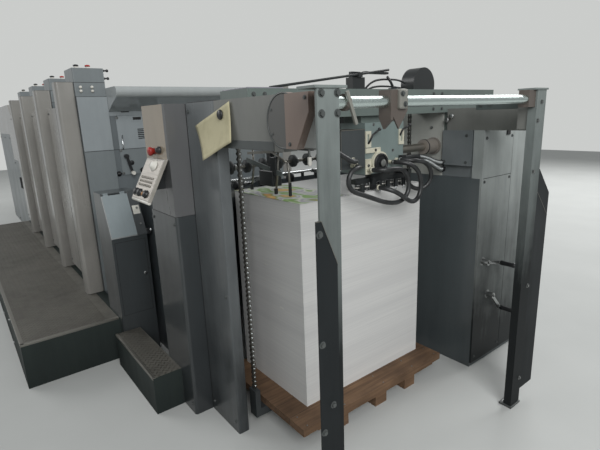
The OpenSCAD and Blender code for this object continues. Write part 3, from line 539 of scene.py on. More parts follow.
# Fittings on the first unit's intake end
face = unit_faces[0]
boxes("intake_gaps", [(face - 1, -594, 1674, face + 1.5, -531, 1696), (face + 5, -512, 1616, face + 9.5, -449, 1637),
                      (face + 15, -895, 1396, face + 16.7, -685, 1399), (face - 1, -684, 1396, face + 1, 684, 1399),
                      (face + 5, -640, 1396, face + 6.6, -421, 1399)], dark_gap, 0.4)
# The upper sheets are coloured lighter than the panels below them: painted reflection on the upper part of the intake
# end
upper_sheet = enamel("intake enamel lightened as painted reflection", "#979ea1", "#666d70", rough=0.28, dirt_and_shade_contrast=0.4)
boxes("upper_intake_sheets", [(face + 15, -894, 1401, face + 17, -687, 1787),
                              (face + 5, -638, 1401, face + 7, -422, 1648),
                              (face + 5, -276, 1401, face + 7, 558, 1648),
                              (face - 1, -684, 1651, face + 1, 684, 1690)], upper_sheet, 0.5)
boxes("intake_slot_plate", [(face + 5, -525, 1604, face + 9, -436, 1649)], upper_sheet, 1.0)
slats("intake_louvre", [(face + 8, -462, 1475)], (8, 47, 4), (0, 0, 14), 6, dark_gap, (0, 30, 0))
rod("intake_lever_rod", [[(face + 20, -615, 1400), (face + 20, -615, 1423), (face + 20, -612, 1506)]], 5, bright_rod)
rod("intake_handle", [[(face - 2, -630, 1716), (face + 16, -630, 1718), (face + 20, -630, 1726),
                       (face + 20, -630, 1760), (face + 16, -630, 1768), (face - 2, -630, 1770)]], 5, black_plastic)
bolts("intake_bolts", [(face + 6, -632, z) for z in (1213, 1390, 1636)] + [(face + 6, -430, z) for z in (1225, 1640)],
      (1, 0, 0), zinc, 15)
# The studs stay low, so that the throw lever and its knob swing past them
turned("intake_studs", [(0, 0), (20, 0), (20, 7), (14, 11), (14, 15), (0, 16)],
       [(face, -667, 1213), (face + 6, -483, 1225)], black_plastic, "X", 20)
turned("low_stud", [(0, 0), (18, 0), (18, 5), (9, 8), (0, 8)], [(face + 6, -560, 1290)], black_plastic, "X", 20)
turned("lay_shaft", [(0, 0), (12, 0), (12, 1230), (0, 1230)], [(face + 32, -615, 1010)], bright_rod, "Y")
turned("lay_collars", [(0, 0), (20, 0), (22, 2), (22, 20), (20, 22), (0, 22)],
       [(face + 32, -560 + 140 * k, 1010) for k in range(9)], zinc, "Y")

# ---- Delivery ----
# The housings of the delivery are of welded sheet in the same enamel, and the guard across the pile bay
# is tinted acrylic in a black frame.
dress(enamel("grey delivery enamel", "#747a7c", "#474b4c"), "delivery_base", "delivery_sides")
# Cast acrylic tinted grey: clear gloss, with faint smears
tint, tree, out = new_surface("tinted cast acrylic")
haze = add(tree, "ShaderNodeTexNoise", {"Vector": add(tree, "ShaderNodeTexCoord").outputs["Object"], "Scale": 6.0})
shade = add(tree, "ShaderNodeBsdfPrincipled", {
    "Base Color": two_tones(tree, haze.outputs["Fac"], "#2c3436", "#3a4244", 0.3, 0.7), "Transmission Weight": 0.4,
    "Roughness": add(tree, "ShaderNodeMapRange", {"Value": haze.outputs["Fac"], "To Min": 0.05,
                                                  "To Max": 0.16}).outputs[0]})
tree.links.new(shade.outputs[0], out.inputs["Surface"])
dress(tint, "delivery_window")
bay_x0, tower_end = -5600, -3150
window_low, window_high, window_half = 1060, 1480, 765
boxes("window_frame", [(bay_x0 - 6, -window_half, window_low, bay_x0 + 14, window_half, window_low + 28),
                       (bay_x0 - 6, -window_half, window_high - 26, bay_x0 - 0.5, window_half, window_high - 2),
                       (bay_x0 - 6, -window_half, window_low, bay_x0 - 0.5, -window_half + 26, window_high - 2),
                       (bay_x0 - 6, window_half - 26, window_low, bay_x0 - 0.5, window_half, window_high - 2)],
      black_plastic, 2)
rod("window_pull", [[(bay_x0 + 2, -180, 1150), (bay_x0 - 40, -175, 1150), (bay_x0 - 46, -165, 1150),
                     (bay_x0 - 46, 165, 1150), (bay_x0 - 40, 175, 1150), (bay_x0 + 2, 180, 1150)]], 9, bright_rod)
drawn("hood_seams", [([(x, -896), (x + 4, -896), (x + 4, 896), (x, 896)], z - 2, z + 1.2)
                     for x, z in ((-4153, 1900), (-4870, 1900), (-5300, 1900))], dark_gap)
delivery_y = 895
for side, label in ((-1, "operator"), (1, "drive")):
    bolts(f"{label}_delivery_bolts", [(x, side * delivery_y, z) for x in (-5540, -4880, -4210) for z in (60, 1420)]
          + [(x, side * delivery_y, z) for x in (-4090, -3210) for z in (60, 1050)], (0, side, 0), painted_bolt, 16)
    drawn(f"{label}_delivery_handles", [([(x + a, side * (delivery_y + b)) for a, b in handle_profile], 700, 860)
                                        for x in (-3700, -3560)], black_plastic)
    drawn(f"{label}_delivery_seams", [([(-3630, side * (delivery_y - 2)), (-3627, side * (delivery_y - 2)),
                                        (-3627, side * (delivery_y + 0.8)), (-3630, side * (delivery_y + 0.8))],
                                       20, 1096)], dark_gap)
slats("hood_vents", [(-4000 + 190 * k, 0, 1901) for k in range(2)], (12, 900, 4), (22, 0, 0), 7, painted_bolt)
bolts("delivery_feet_bolts", [(x, y, 30) for x in (-5600,) for y in (-830, 830)], (-1, 0, 0), zinc, 20)

# ---- Platform and step ----
# The operator's platform and its step are boxes, each topped with a sheet of worn checker plate, their sides
# coloured dark as painted shade. Angle bars of bare steel edge the tops, their bright faces also a painted
# highlight, and short raised bars keep a shoe from slipping.
platform_plate = enamel("worn checker plate", "#605e57", "#302f2b", rough=0.46, dirt_and_shade_contrast=1.2, coat=0.0, grime_and_shade_height=0.3,
                        grime_and_shade_depth=0.5)
# The boxes' sides are coloured dark, and darker still towards the floor: painted shade
dress(enamel("platform enamel darkened as painted shade", "#303735", "#1c2020", rough=0.5, grime_and_shade_height=0.3, grime_and_shade_depth=0.4, coat=0.0,
             shine=0.15), "operator_platform", "step_box")
edge_bar = steel("worn edge angle", "#86847e", 0.38)


def checker_tree():
    """Geometry Nodes tree for checker plate: short raised bars on a grid, every other one turned across."""
    tree = bpy.data.node_groups.new("checker plate", "GeometryNodeTree")
    tree.interface.new_socket("Points", in_out="INPUT", socket_type="NodeSocketGeometry")
    for label, default in (("Length", 1.0), ("Width", 1.0), ("Pitch", 0.03), ("Bar Length", 0.024),
                           ("Bar Width", 0.006), ("Bar Height", 0.002)):
        tree.interface.new_socket(label, in_out="INPUT", socket_type="NodeSocketFloat").default_value = default
    tree.interface.new_socket("Finish", in_out="INPUT", socket_type="NodeSocketMaterial")
    tree.interface.new_socket("Bars", in_out="OUTPUT", socket_type="NodeSocketGeometry")
    given = add(tree, "NodeGroupInput")
    joined = add(tree, "GeometryNodeJoinGeometry")
    bar_size = add(tree, "ShaderNodeCombineXYZ", {"X": given.outputs["Bar Length"], "Y": given.outputs["Bar Width"],
                                                  "Z": given.outputs["Bar Height"]})
    bar = add(tree, "GeometryNodeMeshCylinder", {"Vertices": 6, "Radius": 0.5, "Depth": 1.0})
    shaped = add(tree, "GeometryNodeTransform", {"Geometry": bar.outputs["Mesh"], "Scale": bar_size.outputs[0]})
    for shift, angle in ((0.0, 45), (0.5, -45)):
        sizes = []
        for label in ("Length", "Width"):
            room = add(tree, "ShaderNodeMath", {0: given.outputs[label], 1: given.outputs["Pitch"]},
                       operation="SUBTRACT")
            count = add(tree, "ShaderNodeMath", {0: room.outputs[0], 1: given.outputs["Pitch"]}, operation="DIVIDE")
            whole = add(tree, "ShaderNodeMath", {0: count.outputs[0]}, operation="FLOOR")
            sizes.append((add(tree, "ShaderNodeMath", {0: whole.outputs[0], 1: given.outputs["Pitch"]},
                              operation="MULTIPLY"), add(tree, "ShaderNodeMath", {0: whole.outputs[0], 1: 1.0})))
        grid = add(tree, "GeometryNodeMeshGrid", {
            "Size X": sizes[0][0].outputs[0], "Size Y": sizes[1][0].outputs[0],
            "Vertices X": sizes[0][1].outputs[0], "Vertices Y": sizes[1][1].outputs[0]})
        step = add(tree, "ShaderNodeMath", {0: given.outputs["Pitch"], 1: shift}, operation="MULTIPLY")
        moved = add(tree, "GeometryNodeTransform", {
            "Geometry": grid.outputs["Mesh"], "Translation": add(
                tree, "ShaderNodeCombineXYZ", {"X": step.outputs[0], "Y": step.outputs[0]}).outputs[0]})
        turned_bar = add(tree, "GeometryNodeTransform", {"Geometry": shaped.outputs[0],
                                                         "Rotation": (0, 0, math.radians(angle))})
        field = add(tree, "GeometryNodeInstanceOnPoints", {"Points": moved.outputs[0],
                                                           "Instance": turned_bar.outputs[0]})
        tree.links.new(field.outputs[0], joined.inputs["Geometry"])
    placed = add(tree, "GeometryNodeInstanceOnPoints", {"Points": given.outputs["Points"],
                                                        "Instance": joined.outputs[0]})
    solid = add(tree, "GeometryNodeRealizeInstances", {"Geometry": placed.outputs[0]})
    finished = add(tree, "GeometryNodeSetMaterial", {"Geometry": solid.outputs[0],
                                                     "Material": given.outputs["Finish"]})
    tree.links.new(finished.outputs[0], add(tree, "NodeGroupOutput").inputs["Bars"])
    return tree


checker_nodes = checker_tree()
worn_bar = steel("worn bar of checker plate", "#66635d", 0.42)
platform_x1, platform_y0, platform_high = 1030, -1545, 300
step_x0, step_x1, step_y0, step_high = 1120, 1810, -1015, 225
sheet_proud = 0.6
boxes("platform_sheet", [(tower_end + 2, platform_y0 + 1, platform_high - 1, platform_x1 - 1, -961,
                          platform_high + sheet_proud)], platform_plate, 0.3)
boxes("step_sheet", [(step_x0 + 1, step_y0 + 1, step_high - 1, step_x1 - 1, -851, step_high + sheet_proud)],
      platform_plate, 0.3)
# The bars are a third coarser than real ones, so that they show
for name, x0, x1, y0, y1, z in (("platform_checks", tower_end, platform_x1, platform_y0, -1022, platform_high),
                                ("step_checks", step_x0, step_x1, step_y0, -850, step_high)):
    grown(name, checker_nodes, [((x0 + x1) / 2 - 8, (y0 + y1) / 2 - 8, z + sheet_proud)], [(0, 0, 1)], {
        "Length": (x1 - x0) / 1000, "Width": (y1 - y0) / 1000, "Pitch": 0.036, "Bar Length": 0.026,
        "Bar Width": 0.007, "Bar Height": 0.0024, "Finish": worn_bar})
# The angles are bare steel, and their bright faces are also a painted highlight along the edges
edge_low, edge_high = platform_high - 12, platform_high + 2.5
boxes("platform_edges", [(tower_end, platform_y0 - 2.5, edge_low, platform_x1 + 2.5, platform_y0, edge_high),
                         (tower_end, platform_y0, platform_high - 1, platform_x1 + 2.5, platform_y0 + 20, edge_high),
                         (platform_x1, platform_y0, edge_low, platform_x1 + 2.5, -960, edge_high),
                         (platform_x1 - 20, platform_y0, platform_high - 1, platform_x1, -960, edge_high)],
      edge_bar, 1)
boxes("step_edges", [(step_x0 - 2, step_y0 - 2.5, step_high - 12, step_x1 + 2, step_y0, step_high + 2.5),
                     (step_x0 - 2, step_y0, step_high - 1, step_x1 + 2, step_y0 + 15, step_high + 2.5)],
      edge_bar, 1)
bolts("platform_bolts", [(x, platform_y0, z) for x in range(-3050, 1030, 680) for z in (50, 230)], (0, -1, 0),
      zinc, 15)

# ---- Console ----
# The console stands at the platform's end: a folded steel box with a steep slanted face. Its lid hangs on
# a pin along the top edge and shuts on a black latch with a chromed tongue.
dress(enamel("slate grey enamel", "#3f4446", "#222526", rough=0.26, coat=0.45, grime_and_shade_height=1.1, grime_and_shade_depth=0.5), "console")
dress(enamel("blue grey lid enamel", "#858f92", "#586063", rough=0.24, coat=0.4), "console_lid")
console_x, console_top, console_low, slope_run = 1110, 1150, 865, 130
slope_angle = math.atan2(slope_run, console_top - console_low)
on_slope = Matrix.Translation(Vector((console_x - slope_run, 0, console_top)) / 1000) @ Matrix.Rotation(
    -slope_angle, 4, "Y")
label_paper = moulded("matt printed card", "#d2d1c8", "#b3b1a6", rough=0.75)
boxes("console_label", [(9.8, -778, -168, 10.9, -733, -108)], label_paper, 0.4, place=on_slope)
boxes("lid_edge", [(8.5, -955, -312, 10.8, -789, -306), (8.5, -955, -306, 10.8, -951, -22)], zinc, 0.5,
      place=on_slope)
bolts("strip_screws", [(console_x - 52, -754, 1043), (console_x - 6, -754, 942)], (0.91, 0, 0.415), zinc, 9)
boxes("console_latch", [(1086, -726, 862, 1114, -700, 902), (1090, -702, 868, 1118, -690, 890)], black_plastic, 4)
turned("latch_tongue", [(0, 0), (9, 0), (11, 3), (11, 14), (8, 18), (0, 18)], [(1108, -696, 893)], bright_rod, "X")
boxes("console_door_gap", [(console_x - 1, -940, 330, console_x + 0.6, -740, 333),
                           (console_x - 1, -940, 838, console_x + 0.6, -740, 841),
                           (console_x - 1, -940, 330, console_x + 0.6, -937, 841),
                           (console_x - 1, -743, 330, console_x + 0.6, -740, 841)], dark_gap, 0.4)
turned("console_lock", [(0, 0), (11, 0), (12, 2), (12, 5), (4, 6), (0, 6)], [(console_x, -765, 600)], zinc, "X")

# ---- Feed board ----
# Sheets ride down a board of rolled aluminium on woven tapes. Rollers on a shaft behind the pile take each
# sheet over from the suckers, and small wheels on rods hold it down.
dress(enamel("slate frame enamel", "#454b4e", "#292d2f"), "feed_frame")
dress(steel("dull rolled aluminium", "#8b8d8a", 0.4), "feed_board")
# Woven polyester: ribs 3 mm apart, drawn as coarse as they show
webbing, tree, out = new_surface("woven feed tape")
weave = add(tree, "ShaderNodeTexWave", {"Vector": add(tree, "ShaderNodeTexCoord").outputs["Object"],
                                        "Scale": 1000 / 3 / (2 * math.pi)})
shade = add(tree, "ShaderNodeBsdfPrincipled", {
    "Base Color": two_tones(tree, weave.outputs["Fac"], "#2a2b2b", "#4a4d4d", 0.2, 0.8), "Roughness": 0.8})
tree.links.new(shade.outputs[0], out.inputs["Surface"])
dress(webbing, "feed_tapes")


def feed_top(x):
    """Height of the feed board's upper face at x, in mm."""
    return 970 + 220 * (x - 510) / (1813 - 510)


dark_bar = enamel("black oxide steel bar", "#26292a", "#161819", rough=0.3, coat=0.1)
boxes("forwarding_brackets", [(1785, y, 1205, 1851, y + 18, 1356) for y in (-545, 527)], dark_bar, 3)
turned("forwarding_shaft", [(0, 0), (10, 0), (10, 1110), (0, 1110)], [(1822, -555, 1330)], edge_bar, "Y")
turned("forwarding_rollers", [(0, 0), (18, 0), (18, 4), (36, 5), (38, 7), (38, 25), (36, 27), (18, 28), (18, 32),
                              (0, 32)], [(1822, -466 + 112 * k, 1330) for k in range(9)],
       moulded("dusty roller rubber", "#303334", "#4c4f50", rough=0.6), "Y")
turned("forwarding_collars", [(0, 0), (17, 0), (18, 1), (18, 11), (17, 12), (0, 12)],
       [(1822, -424 + 112 * k, 1330) for k in range(8)], zinc, "Y", 16)
for x, label in ((860, "low"), (1240, "middle"), (1580, "high")):
    height = feed_top(x) + 70
    turned(f"{label}_cross_rod", [(0, 0), (9, 0), (9, 1080), (0, 1080)], [(x, -540, height)], bright_rod, "Y")
    boxes(f"{label}_rod_brackets", [(x - 14, y, feed_top(x) - 6, x + 14, y + 12, height + 16)
                                    for y in (-532, 520)], dark_bar, 2)
    turned(f"{label}_hold_wheels", [(0, 0), (10, 0), (33, 2), (34, 5), (34, 15), (33, 18), (10, 20), (0, 20)],
           [(x + 46, -370 + 240 * k, feed_top(x + 46) + 38.5) for k in range(4)], black_plastic, "Y", 20)
    boxes(f"{label}_wheel_arms", [(x - 12, -374 + 240 * k, feed_top(x) + 54, x + 54, -371 + 240 * k, height + 8)
                                  for k in range(4)], zinc, 1)

# ---- Feeder, operator side ----
# A column of folded steel carries the beam over the pile. The side box and its head hold the controls,
# and a small aluminium panel leans out from the head on an arm.
# The column and the side box darken towards the floor, steeply and up to about 1.7 m: painted shade
dress(enamel("slate column enamel", "#757a7c", "#25292b", rough=0.22, coat=0.5, dirt_and_shade_contrast=0.8, grime_and_shade_height=1.75, grime_and_shade_depth=0.62),
      "operator_column")
dress(enamel("dark side box enamel", "#3d4244", "#1a1d1f", rough=0.22, coat=0.5, dirt_and_shade_contrast=0.7, grime_and_shade_height=1.7, grime_and_shade_depth=0.5),
      "operator_side_box")
dress(enamel("warm grey head enamel", "#5f6061", "#343637", rough=0.26, coat=0.4), "column_head")
dress(enamel("warm gloss panel enamel", "#a39683", "#75695a", rough=0.14, coat=0.9, dirt_and_shade_contrast=0.3), "column_light_panel")
dress(enamel("warm grey beam enamel", "#7b7c78", "#565856", rough=0.34), "operator_top_beam", "drive_top_beam")
dress(dark_bar, "panel_arm")
column_x0, column_x1, beam_face, feeder_high = 1960, 2255, -745, 1680
boxes("column_seams", [(column_x0 - 1.5, beam_face - 0.8, 2, column_x0 + 1.5, beam_face + 4, feeder_high - 2),
                       (1648, -850.8, 1130, column_x0, -846, 1133)], dark_gap, 0.4)
boxes("column_cap", [(column_x0 + 4, beam_face + 4, feeder_high, column_x1 - 4, -689, feeder_high + 3)],
      dark_gap, 1)
bolts("column_bolts", [(column_x0 + 30, beam_face, z) for z in (60, 1640)]
      + [(column_x1 - 30, beam_face, z) for z in (60, 760)], (0, -1, 0), painted_bolt, 14)
bolts("side_box_bolts", [(x, -850, z) for x in (1650, 1930) for z in (60, 1090)], (0, -1, 0), painted_bolt, 14)
turned("column_stop_button", [(0, 0), (17, 0), (17, 16), (22, 19), (23, 30), (17, 35), (0, 36)],
       [(1780, -850, 1454)], red_plastic, "-Y")
turned("column_key_switch", [(0, 0), (17, 0), (18, 2), (18, 10), (12, 13), (12, 22), (0, 22)], [(1850, -850, 1462)],
       black_plastic, "-Y")

# The control panel: an anodised aluminium face on a pale moulded body
dress(moulded("pale grey moulded body", "#9e9a92", "#77746c", rough=0.4), "control_panel")
panel_back, panel_up = 0.472, 0.881
on_panel = Matrix(((1, 0, 0, 1.712), (0, panel_back, -panel_up, -0.870), (0, panel_up, panel_back, 1.418),
                   (0, 0, 0, 1)))
# Brushed and anodised aluminium: satin, with faint lines along the panel
anodised, tree, out = new_surface("satin anodised aluminium")
lines = add(tree, "ShaderNodeTexNoise", {"Vector": add(tree, "ShaderNodeMapping", {
    "Vector": add(tree, "ShaderNodeTexCoord").outputs["Object"], "Scale": (4.0, 300.0, 300.0)}).outputs[0],
    "Scale": 1.0, "Detail": 3.0})
shade = add(tree, "ShaderNodeBsdfPrincipled", {
    "Base Color": two_tones(tree, lines.outputs["Fac"], "#837f79", "#a29d96", 0.3, 0.7), "Metallic": 0.8,
    "Roughness": 0.38})
tree.links.new(shade.outputs[0], out.inputs["Surface"])
boxes("panel_face", [(7, -214, -0.5, 228, -8, 1.6)], anodised, 0.8, place=on_panel)
turned("panel_lower_edge", [(0, 0), (8, 1), (9.5, 3), (9.5, 232), (8, 234), (0, 235)], [(0, -221, -9)],
       white_plastic, "X", 20, place=on_panel)
turned("panel_dial", [(0, 0), (30, 0), (30, 3), (24, 5), (19, 16), (16, 19), (0, 20)], [(141, -36, 1)],
       white_plastic, "Z", place=on_panel)
button_cap = [(0, 0), (6.5, 0), (6.5, 2.5), (5, 4), (0, 4)]
turned("panel_grey_buttons", button_cap, [(35 + 22 * k, -102 - 20 * m, 1.5) for k in range(8) for m in range(3)],
       moulded("grey push button", "#8b867e", "#66625b"), "Z", 12, place=on_panel)
big_button = [(0, 0), (20, 0), (21, 3), (18, 6), (17, 14), (0, 15)]
small_button = [(0, 0), (10, 0), (10, 4), (8, 7), (0, 7)]
turned("panel_black_buttons", big_button, [(38, -184, 1), (90, -184, 1), (176, -184, 1)], black_plastic, "Z",
       place=on_panel)
turned("panel_white_buttons", small_button, [(65, -196, 1)], white_plastic, "Z", place=on_panel)
turned("panel_amber_button", small_button, [(132, -186, 1)], moulded("amber moulded plastic", "#b9792b", "#7d5118"),
       "Z", place=on_panel)

# Job note: a sheet of cream office paper under a round magnet, its lower edge curling out from the beam
note_paper = moulded("cream office paper", "#c2bb9b", "#aaa383", rough=0.85)
note_corners = [Vector(c) for c in ((2067, -750, 1574), (2404, -750, 1672), (2421, -753, 1508), (2182, -756, 1421))]
note = bmesh.new()
note_grid = []
for i in range(13):
    down = i / 12
    row = []
    for k in range(17):
        across = k / 16
        spot = (note_corners[0].lerp(note_corners[1], across)).lerp(note_corners[3].lerp(note_corners[2], across),
                                                                    down)
        spot.y -= 26 * down ** 2.2 * (1 - 0.55 * across) + 1.2 * math.sin(7 * across + 3 * down) + 1.2
        row.append(note.verts.new(spot / 1000))
    note_grid.append(row)
for a, b in zip(note_grid, note_grid[1:]):
    for k in range(16):
        note.faces.new((a[k], a[k + 1], b[k + 1], b[k]))
note_area = sum(f.calc_area() for f in note.faces)
job_note = keep(note, "job_note", note_paper, smooth=True)
thickness = job_note.modifiers.new("paper", "SOLIDIFY")
thickness.thickness = 0.0003
magnet = turned("note_magnet", [(0, 0), (20, 0), (21, 2), (21, 7), (18, 10), (0, 10)], [(2326, -752, 1620)],
                black_plastic, "-Y", 20)

# ---- Front posts, rail and beam end ----
# Two angle-iron posts stand before the pile, tied by a chromed rail. Their guard plates, the drum cover
# on the beam and the clamps on the rail are bolted on.
# The posts darken towards the floor almost to black at the foot: painted shade
dress(enamel("pale grey post enamel", "#8a9290", "#1b1e1f", rough=0.4, grime_and_shade_height=1.75, grime_and_shade_depth=1.0, dirt_and_shade_contrast=0.8,
             coat=0.0, shine=0.2), "front_posts")
dress(enamel("dark guard enamel", "#212527", "#121415", rough=0.42, grime_and_shade_height=1.0, grime_and_shade_depth=0.4, coat=0.0, shine=0.2),
      "post_plates")
end_enamel = enamel("brown grey cover enamel", "#83736a", "#5a4c45", rough=0.34)
dress(end_enamel, "beam_end_cover")
dress(enamel("brown grey clamp enamel", "#5f5751", "#423b36", rough=0.42), "rail_bracket")
dress(steel("hard chrome", "#d0dcd9", 0.2), "front_rail")
dress(steel("ground shaft steel", "#b9b3aa", 0.32), "head_shaft")
post_face, guard_face = 3050, 3056
bolts("operator_post_bolts", [(post_face, y, z) for y in (-815, -753) for z in (1666, 1608)], (1, 0, 0),
      painted_bolt, 17)
bolts("guard_plate_bolts", [(guard_face, -840, z) for z in (1250, 880, 550, 140)]
      + [(guard_face, -798, z) for z in (90, 640)], (1, 0, 0), painted_bolt, 17)
bolts("drive_post_bolts", [(post_face, 545, 1625), (post_face, 520, 1540), (post_face, 520, 1300),
                           (post_face, 570, 700), (post_face, 570, 160)], (1, 0, 0), zinc, 15)
# Thin bright strips along the guard plates' edges: painted highlight on the plates' edges
drawn("guard_plate_edge_highlights", [([(-852, 1290), (-832, 1290), (-768, 1140), (-766, 1141), (-831, 1292), (-852, 1292)],
                             3049.6, 3056.6),
                            ([(735, 1050), (607, 1185), (557, 1185), (557, 1187.5), (608, 1187.5), (737, 1051.5)],
                             3035.6, 3042.6)], edge_bar, "X")
boxes("post_feet", [(2985, -838, 0, 3056, -742, 12), (2985, 494, 0, 3056, 593, 12)], painted_bolt, 2)
bolts("foot_bolts", [(3006, y, 12) for y in (-812, -775, 522, 568)], (0, 0, 1), zinc, 20)
drum_x, drum_z, drum_r = 2800, 1589, 94
turned("drum_ring", [(drum_r - 5, 0), (drum_r + 0.8, 0), (drum_r + 0.8, 2.5), (drum_r - 5, 2.5)],
       [(drum_x, -773, drum_z)], painted_bolt, "-Y", 48)
bolts("drum_bolts", [(drum_x + 78 * math.cos(math.radians(a)), -773, drum_z + 78 * math.sin(math.radians(a)))
                     for a in (150, 215)] + [(2926, -776.5, 1660), (2840, -776.5, 1512)], (0, -1, 0), painted_bolt, 10)
drawn("drum_face", [([(drum_x + 88 * math.cos(math.radians(a)), drum_z + 88 * math.sin(math.radians(a)))
                      for a in range(0, 360, 6)], -774.2, -772)],
      enamel("dark drum enamel", "#5a5a58", "#3d3e3c"), "Y")
# A screwed plate covers the drum towards the post, and a gusset closes the corner behind it; its pale
# colour is painted light where the post shades it
drawn("end_plate", [([(2817, 1496), (2875, 1496), (2943, 1615), (2943, 1676), (2817, 1676)], -776.6, -773)],
      end_enamel, "Y")
drawn("end_gusset", [([(2860, 1500), (3006, 1500), (3006, 1668), (2860, 1668)], -747.5, -745)],
      enamel("gusset enamel lightened as painted light", "#a9acaa", "#868988"), "Y")
boxes("drive_beam_tie", [(2690, 588, 1597, 3046, 596, 1647)],
      enamel("dark teal bar enamel", "#4e5755", "#343b39"), 1.5)
bolts("tie_bolts", [(x, 588, 1622) for x in (2720, 2770, 3024)], (0, -1, 0), painted_bolt, 15)
boxes("beam_low_band", [(column_x1 + 2, beam_face - 1.5, 1481, 2700, beam_face, 1516)],
      enamel("dark beam band enamel", "#4d5252", "#35393a"), 0.6)
rail_x, rail_z = 3021, 1639
pale_clamp = enamel("pale clamp enamel", "#86867f", "#5a5a55")
boxes("rail_clamp_block", [(rail_x - 26, -478, rail_z - 26, rail_x + 38, -438, rail_z + 40)], pale_clamp, 6)
bolts("clamp_bolts", [(rail_x + 38, -466, rail_z + 24), (rail_x + 38, -452, rail_z - 10)], (1, 0, 0), painted_bolt, 13)
boxes("strip_face", [(18, -6, -73, 27.5, 6, 35)], pale_clamp, 1.5, place=Matrix.Translation(
    Vector((rail_x, -695, rail_z)) / 1000) @ Matrix.Rotation(math.radians(22), 4, "X"))

# ---- Drive side ----
# The drive stands in a cabinet of sheet steel whose end cover is in two widths. Two hand cranks for the
# pile hoist turn on studs in the cover; their grips are black sleeves.
dress(enamel("dark cabinet enamel", "#535a5c", "#2f3436", rough=0.3, coat=0.35), "drive_cabinet")
dress(enamel("grey housing enamel", "#757b7d", "#4b5051", rough=0.3, coat=0.35), "drive_upper_housing")
# The end cover darkens towards the floor, up to 1.45 m and almost to black: painted shade
dress(enamel("light cover enamel", "#b0b6b4", "#171b1c", rough=0.32, coat=0.0, dirt_and_shade_contrast=0.7, grime_and_shade_height=1.45, grime_and_shade_depth=0.8,
             shine=0.3),
      "cabinet_end_cover")
dress(enamel("mid grey wall enamel", "#aeb0aa", "#7d7f7b"), "drive_inner_wall")
turned_steel = steel("turned crank steel", "#a6a8a7", 0.26)
dress(turned_steel, "upper_crank", "lower_crank")
cover_face = 2684
grip = [(0, 0), (13, 0), (15, 4), (13.5, 20), (13.5, 70), (15.5, 84), (13, 92), (0, 93)]
turned("upper_crank_grip", grip, [(2724, 911.2, 666.3)], black_plastic, "X", 20, body="upper_crank")
turned("lower_crank_grip", grip, [(2724, 947.3, 355.3)], black_plastic, "X", 20, body="lower_crank")
turned("upper_crank_nut", [(0, 0), (9, 0), (9, 7), (0, 8)], [(2726.4, 765, 700)], zinc, "X", 6, body="upper_crank")
turned("lower_crank_nut", [(0, 0), (9, 0), (9, 7), (0, 8)], [(2726.4, 845, 465)], zinc, "X", 6, body="lower_crank")
turned("wall_knobs", [(0, 0), (8, 0), (8, 8), (13, 10), (15, 15), (13, 20), (0, 21)],
       [(2484, 691, 1567), (2446, 701, 1545)], turned_steel, "-Y", 20)
bolts("wall_bolts", [(2388, 701, 1401), (2330, 701, 1500), (2330, 701, 1255)], (0, -1, 0), zinc, 14)
bolts("upper_box_bolts", [(2437, 691, 1300), (2580, 691, 1300), (2580, 691, 1455)], (0, -1, 0), painted_bolt, 12)
boxes("cover_catch", [(cover_face, 940, 1448, cover_face + 9, 976, 1474)], black_plastic, 2)
bolts("cover_bolts", [(cover_face, y, z) for y in (730, 1010, 1225) for z in (70, 1190, 1440)], (1, 0, 0),
      painted_bolt, 13)
drawn("cover_seams", [([(715, 1208), (1026, 1208), (1026, 1211), (715, 1211)], cover_face - 1, cover_face + 0.7)],
      dark_gap, "X")
turned("crank_plates", [(0, 0), (34, 0), (35, 1), (35, 3), (19, 3.2), (0, 3.2)],
       [(cover_face - 3.1, 765, 700), (cover_face - 3.1, 845, 465)], zinc, "X", 32)
for label, x in (("first", 1870), ("second", 2240)):
    boxes(f"{label}_cabinet_door_gap", [(x - 182, 1245, 60, x - 179, 1246.8, 1180),
                                        (x + 179, 1245, 60, x + 182, 1246.8, 1180),
                                        (x - 182, 1245, 60, x + 182, 1246.8, 63),
                                        (x - 182, 1245, 1177, x + 182, 1246.8, 1180)], dark_gap, 0.4)
    drawn(f"{label}_cabinet_handle", [([(x + 130 + a, 1246 + b) for a, b in handle_profile], 640, 780)],
          black_plastic)
slats("cabinet_vents", [(x, 1247, 200) for x in (1870, 2240)], (200, 6, 8), (0, 0, 20), 9, painted_bolt, (35, 0, 0))

# ---- Suction head ----
# The head lifts each sheet off the pile. It is a painted casting with slotted plates, a hand wheel and a
# row of soft suckers, all screwed on, and it takes its drive from a chromed shaft out of the drive side.
dress(enamel("teal grey casting enamel", "#7d8b89", "#4e5856", rough=0.3, coat=0.4), "suction_head")
dress(enamel("teal grey beam enamel", "#68736f", "#424a48", rough=0.36), "head_cross_beam")
dress(enamel("warm sleeve enamel", "#827c75", "#57534e", rough=0.32), "shaft_sleeve")
dress(enamel("cream fitting enamel", "#d6d3c0", "#9a9684", rough=0.4), "head_fittings")
dress(enamel("black head enamel", "#44494b", "#2a2e2f", rough=0.3, coat=0.3), "suction_head_cover")
dress(dark_bar, "separator_frame", "sucker_bar", "beam_gear")
dress(black_plastic, "head_wheel")
cream = moulded("cream moulded plastic", "#d3d0bd", "#a39f8c", rough=0.45)
head_x = 2450
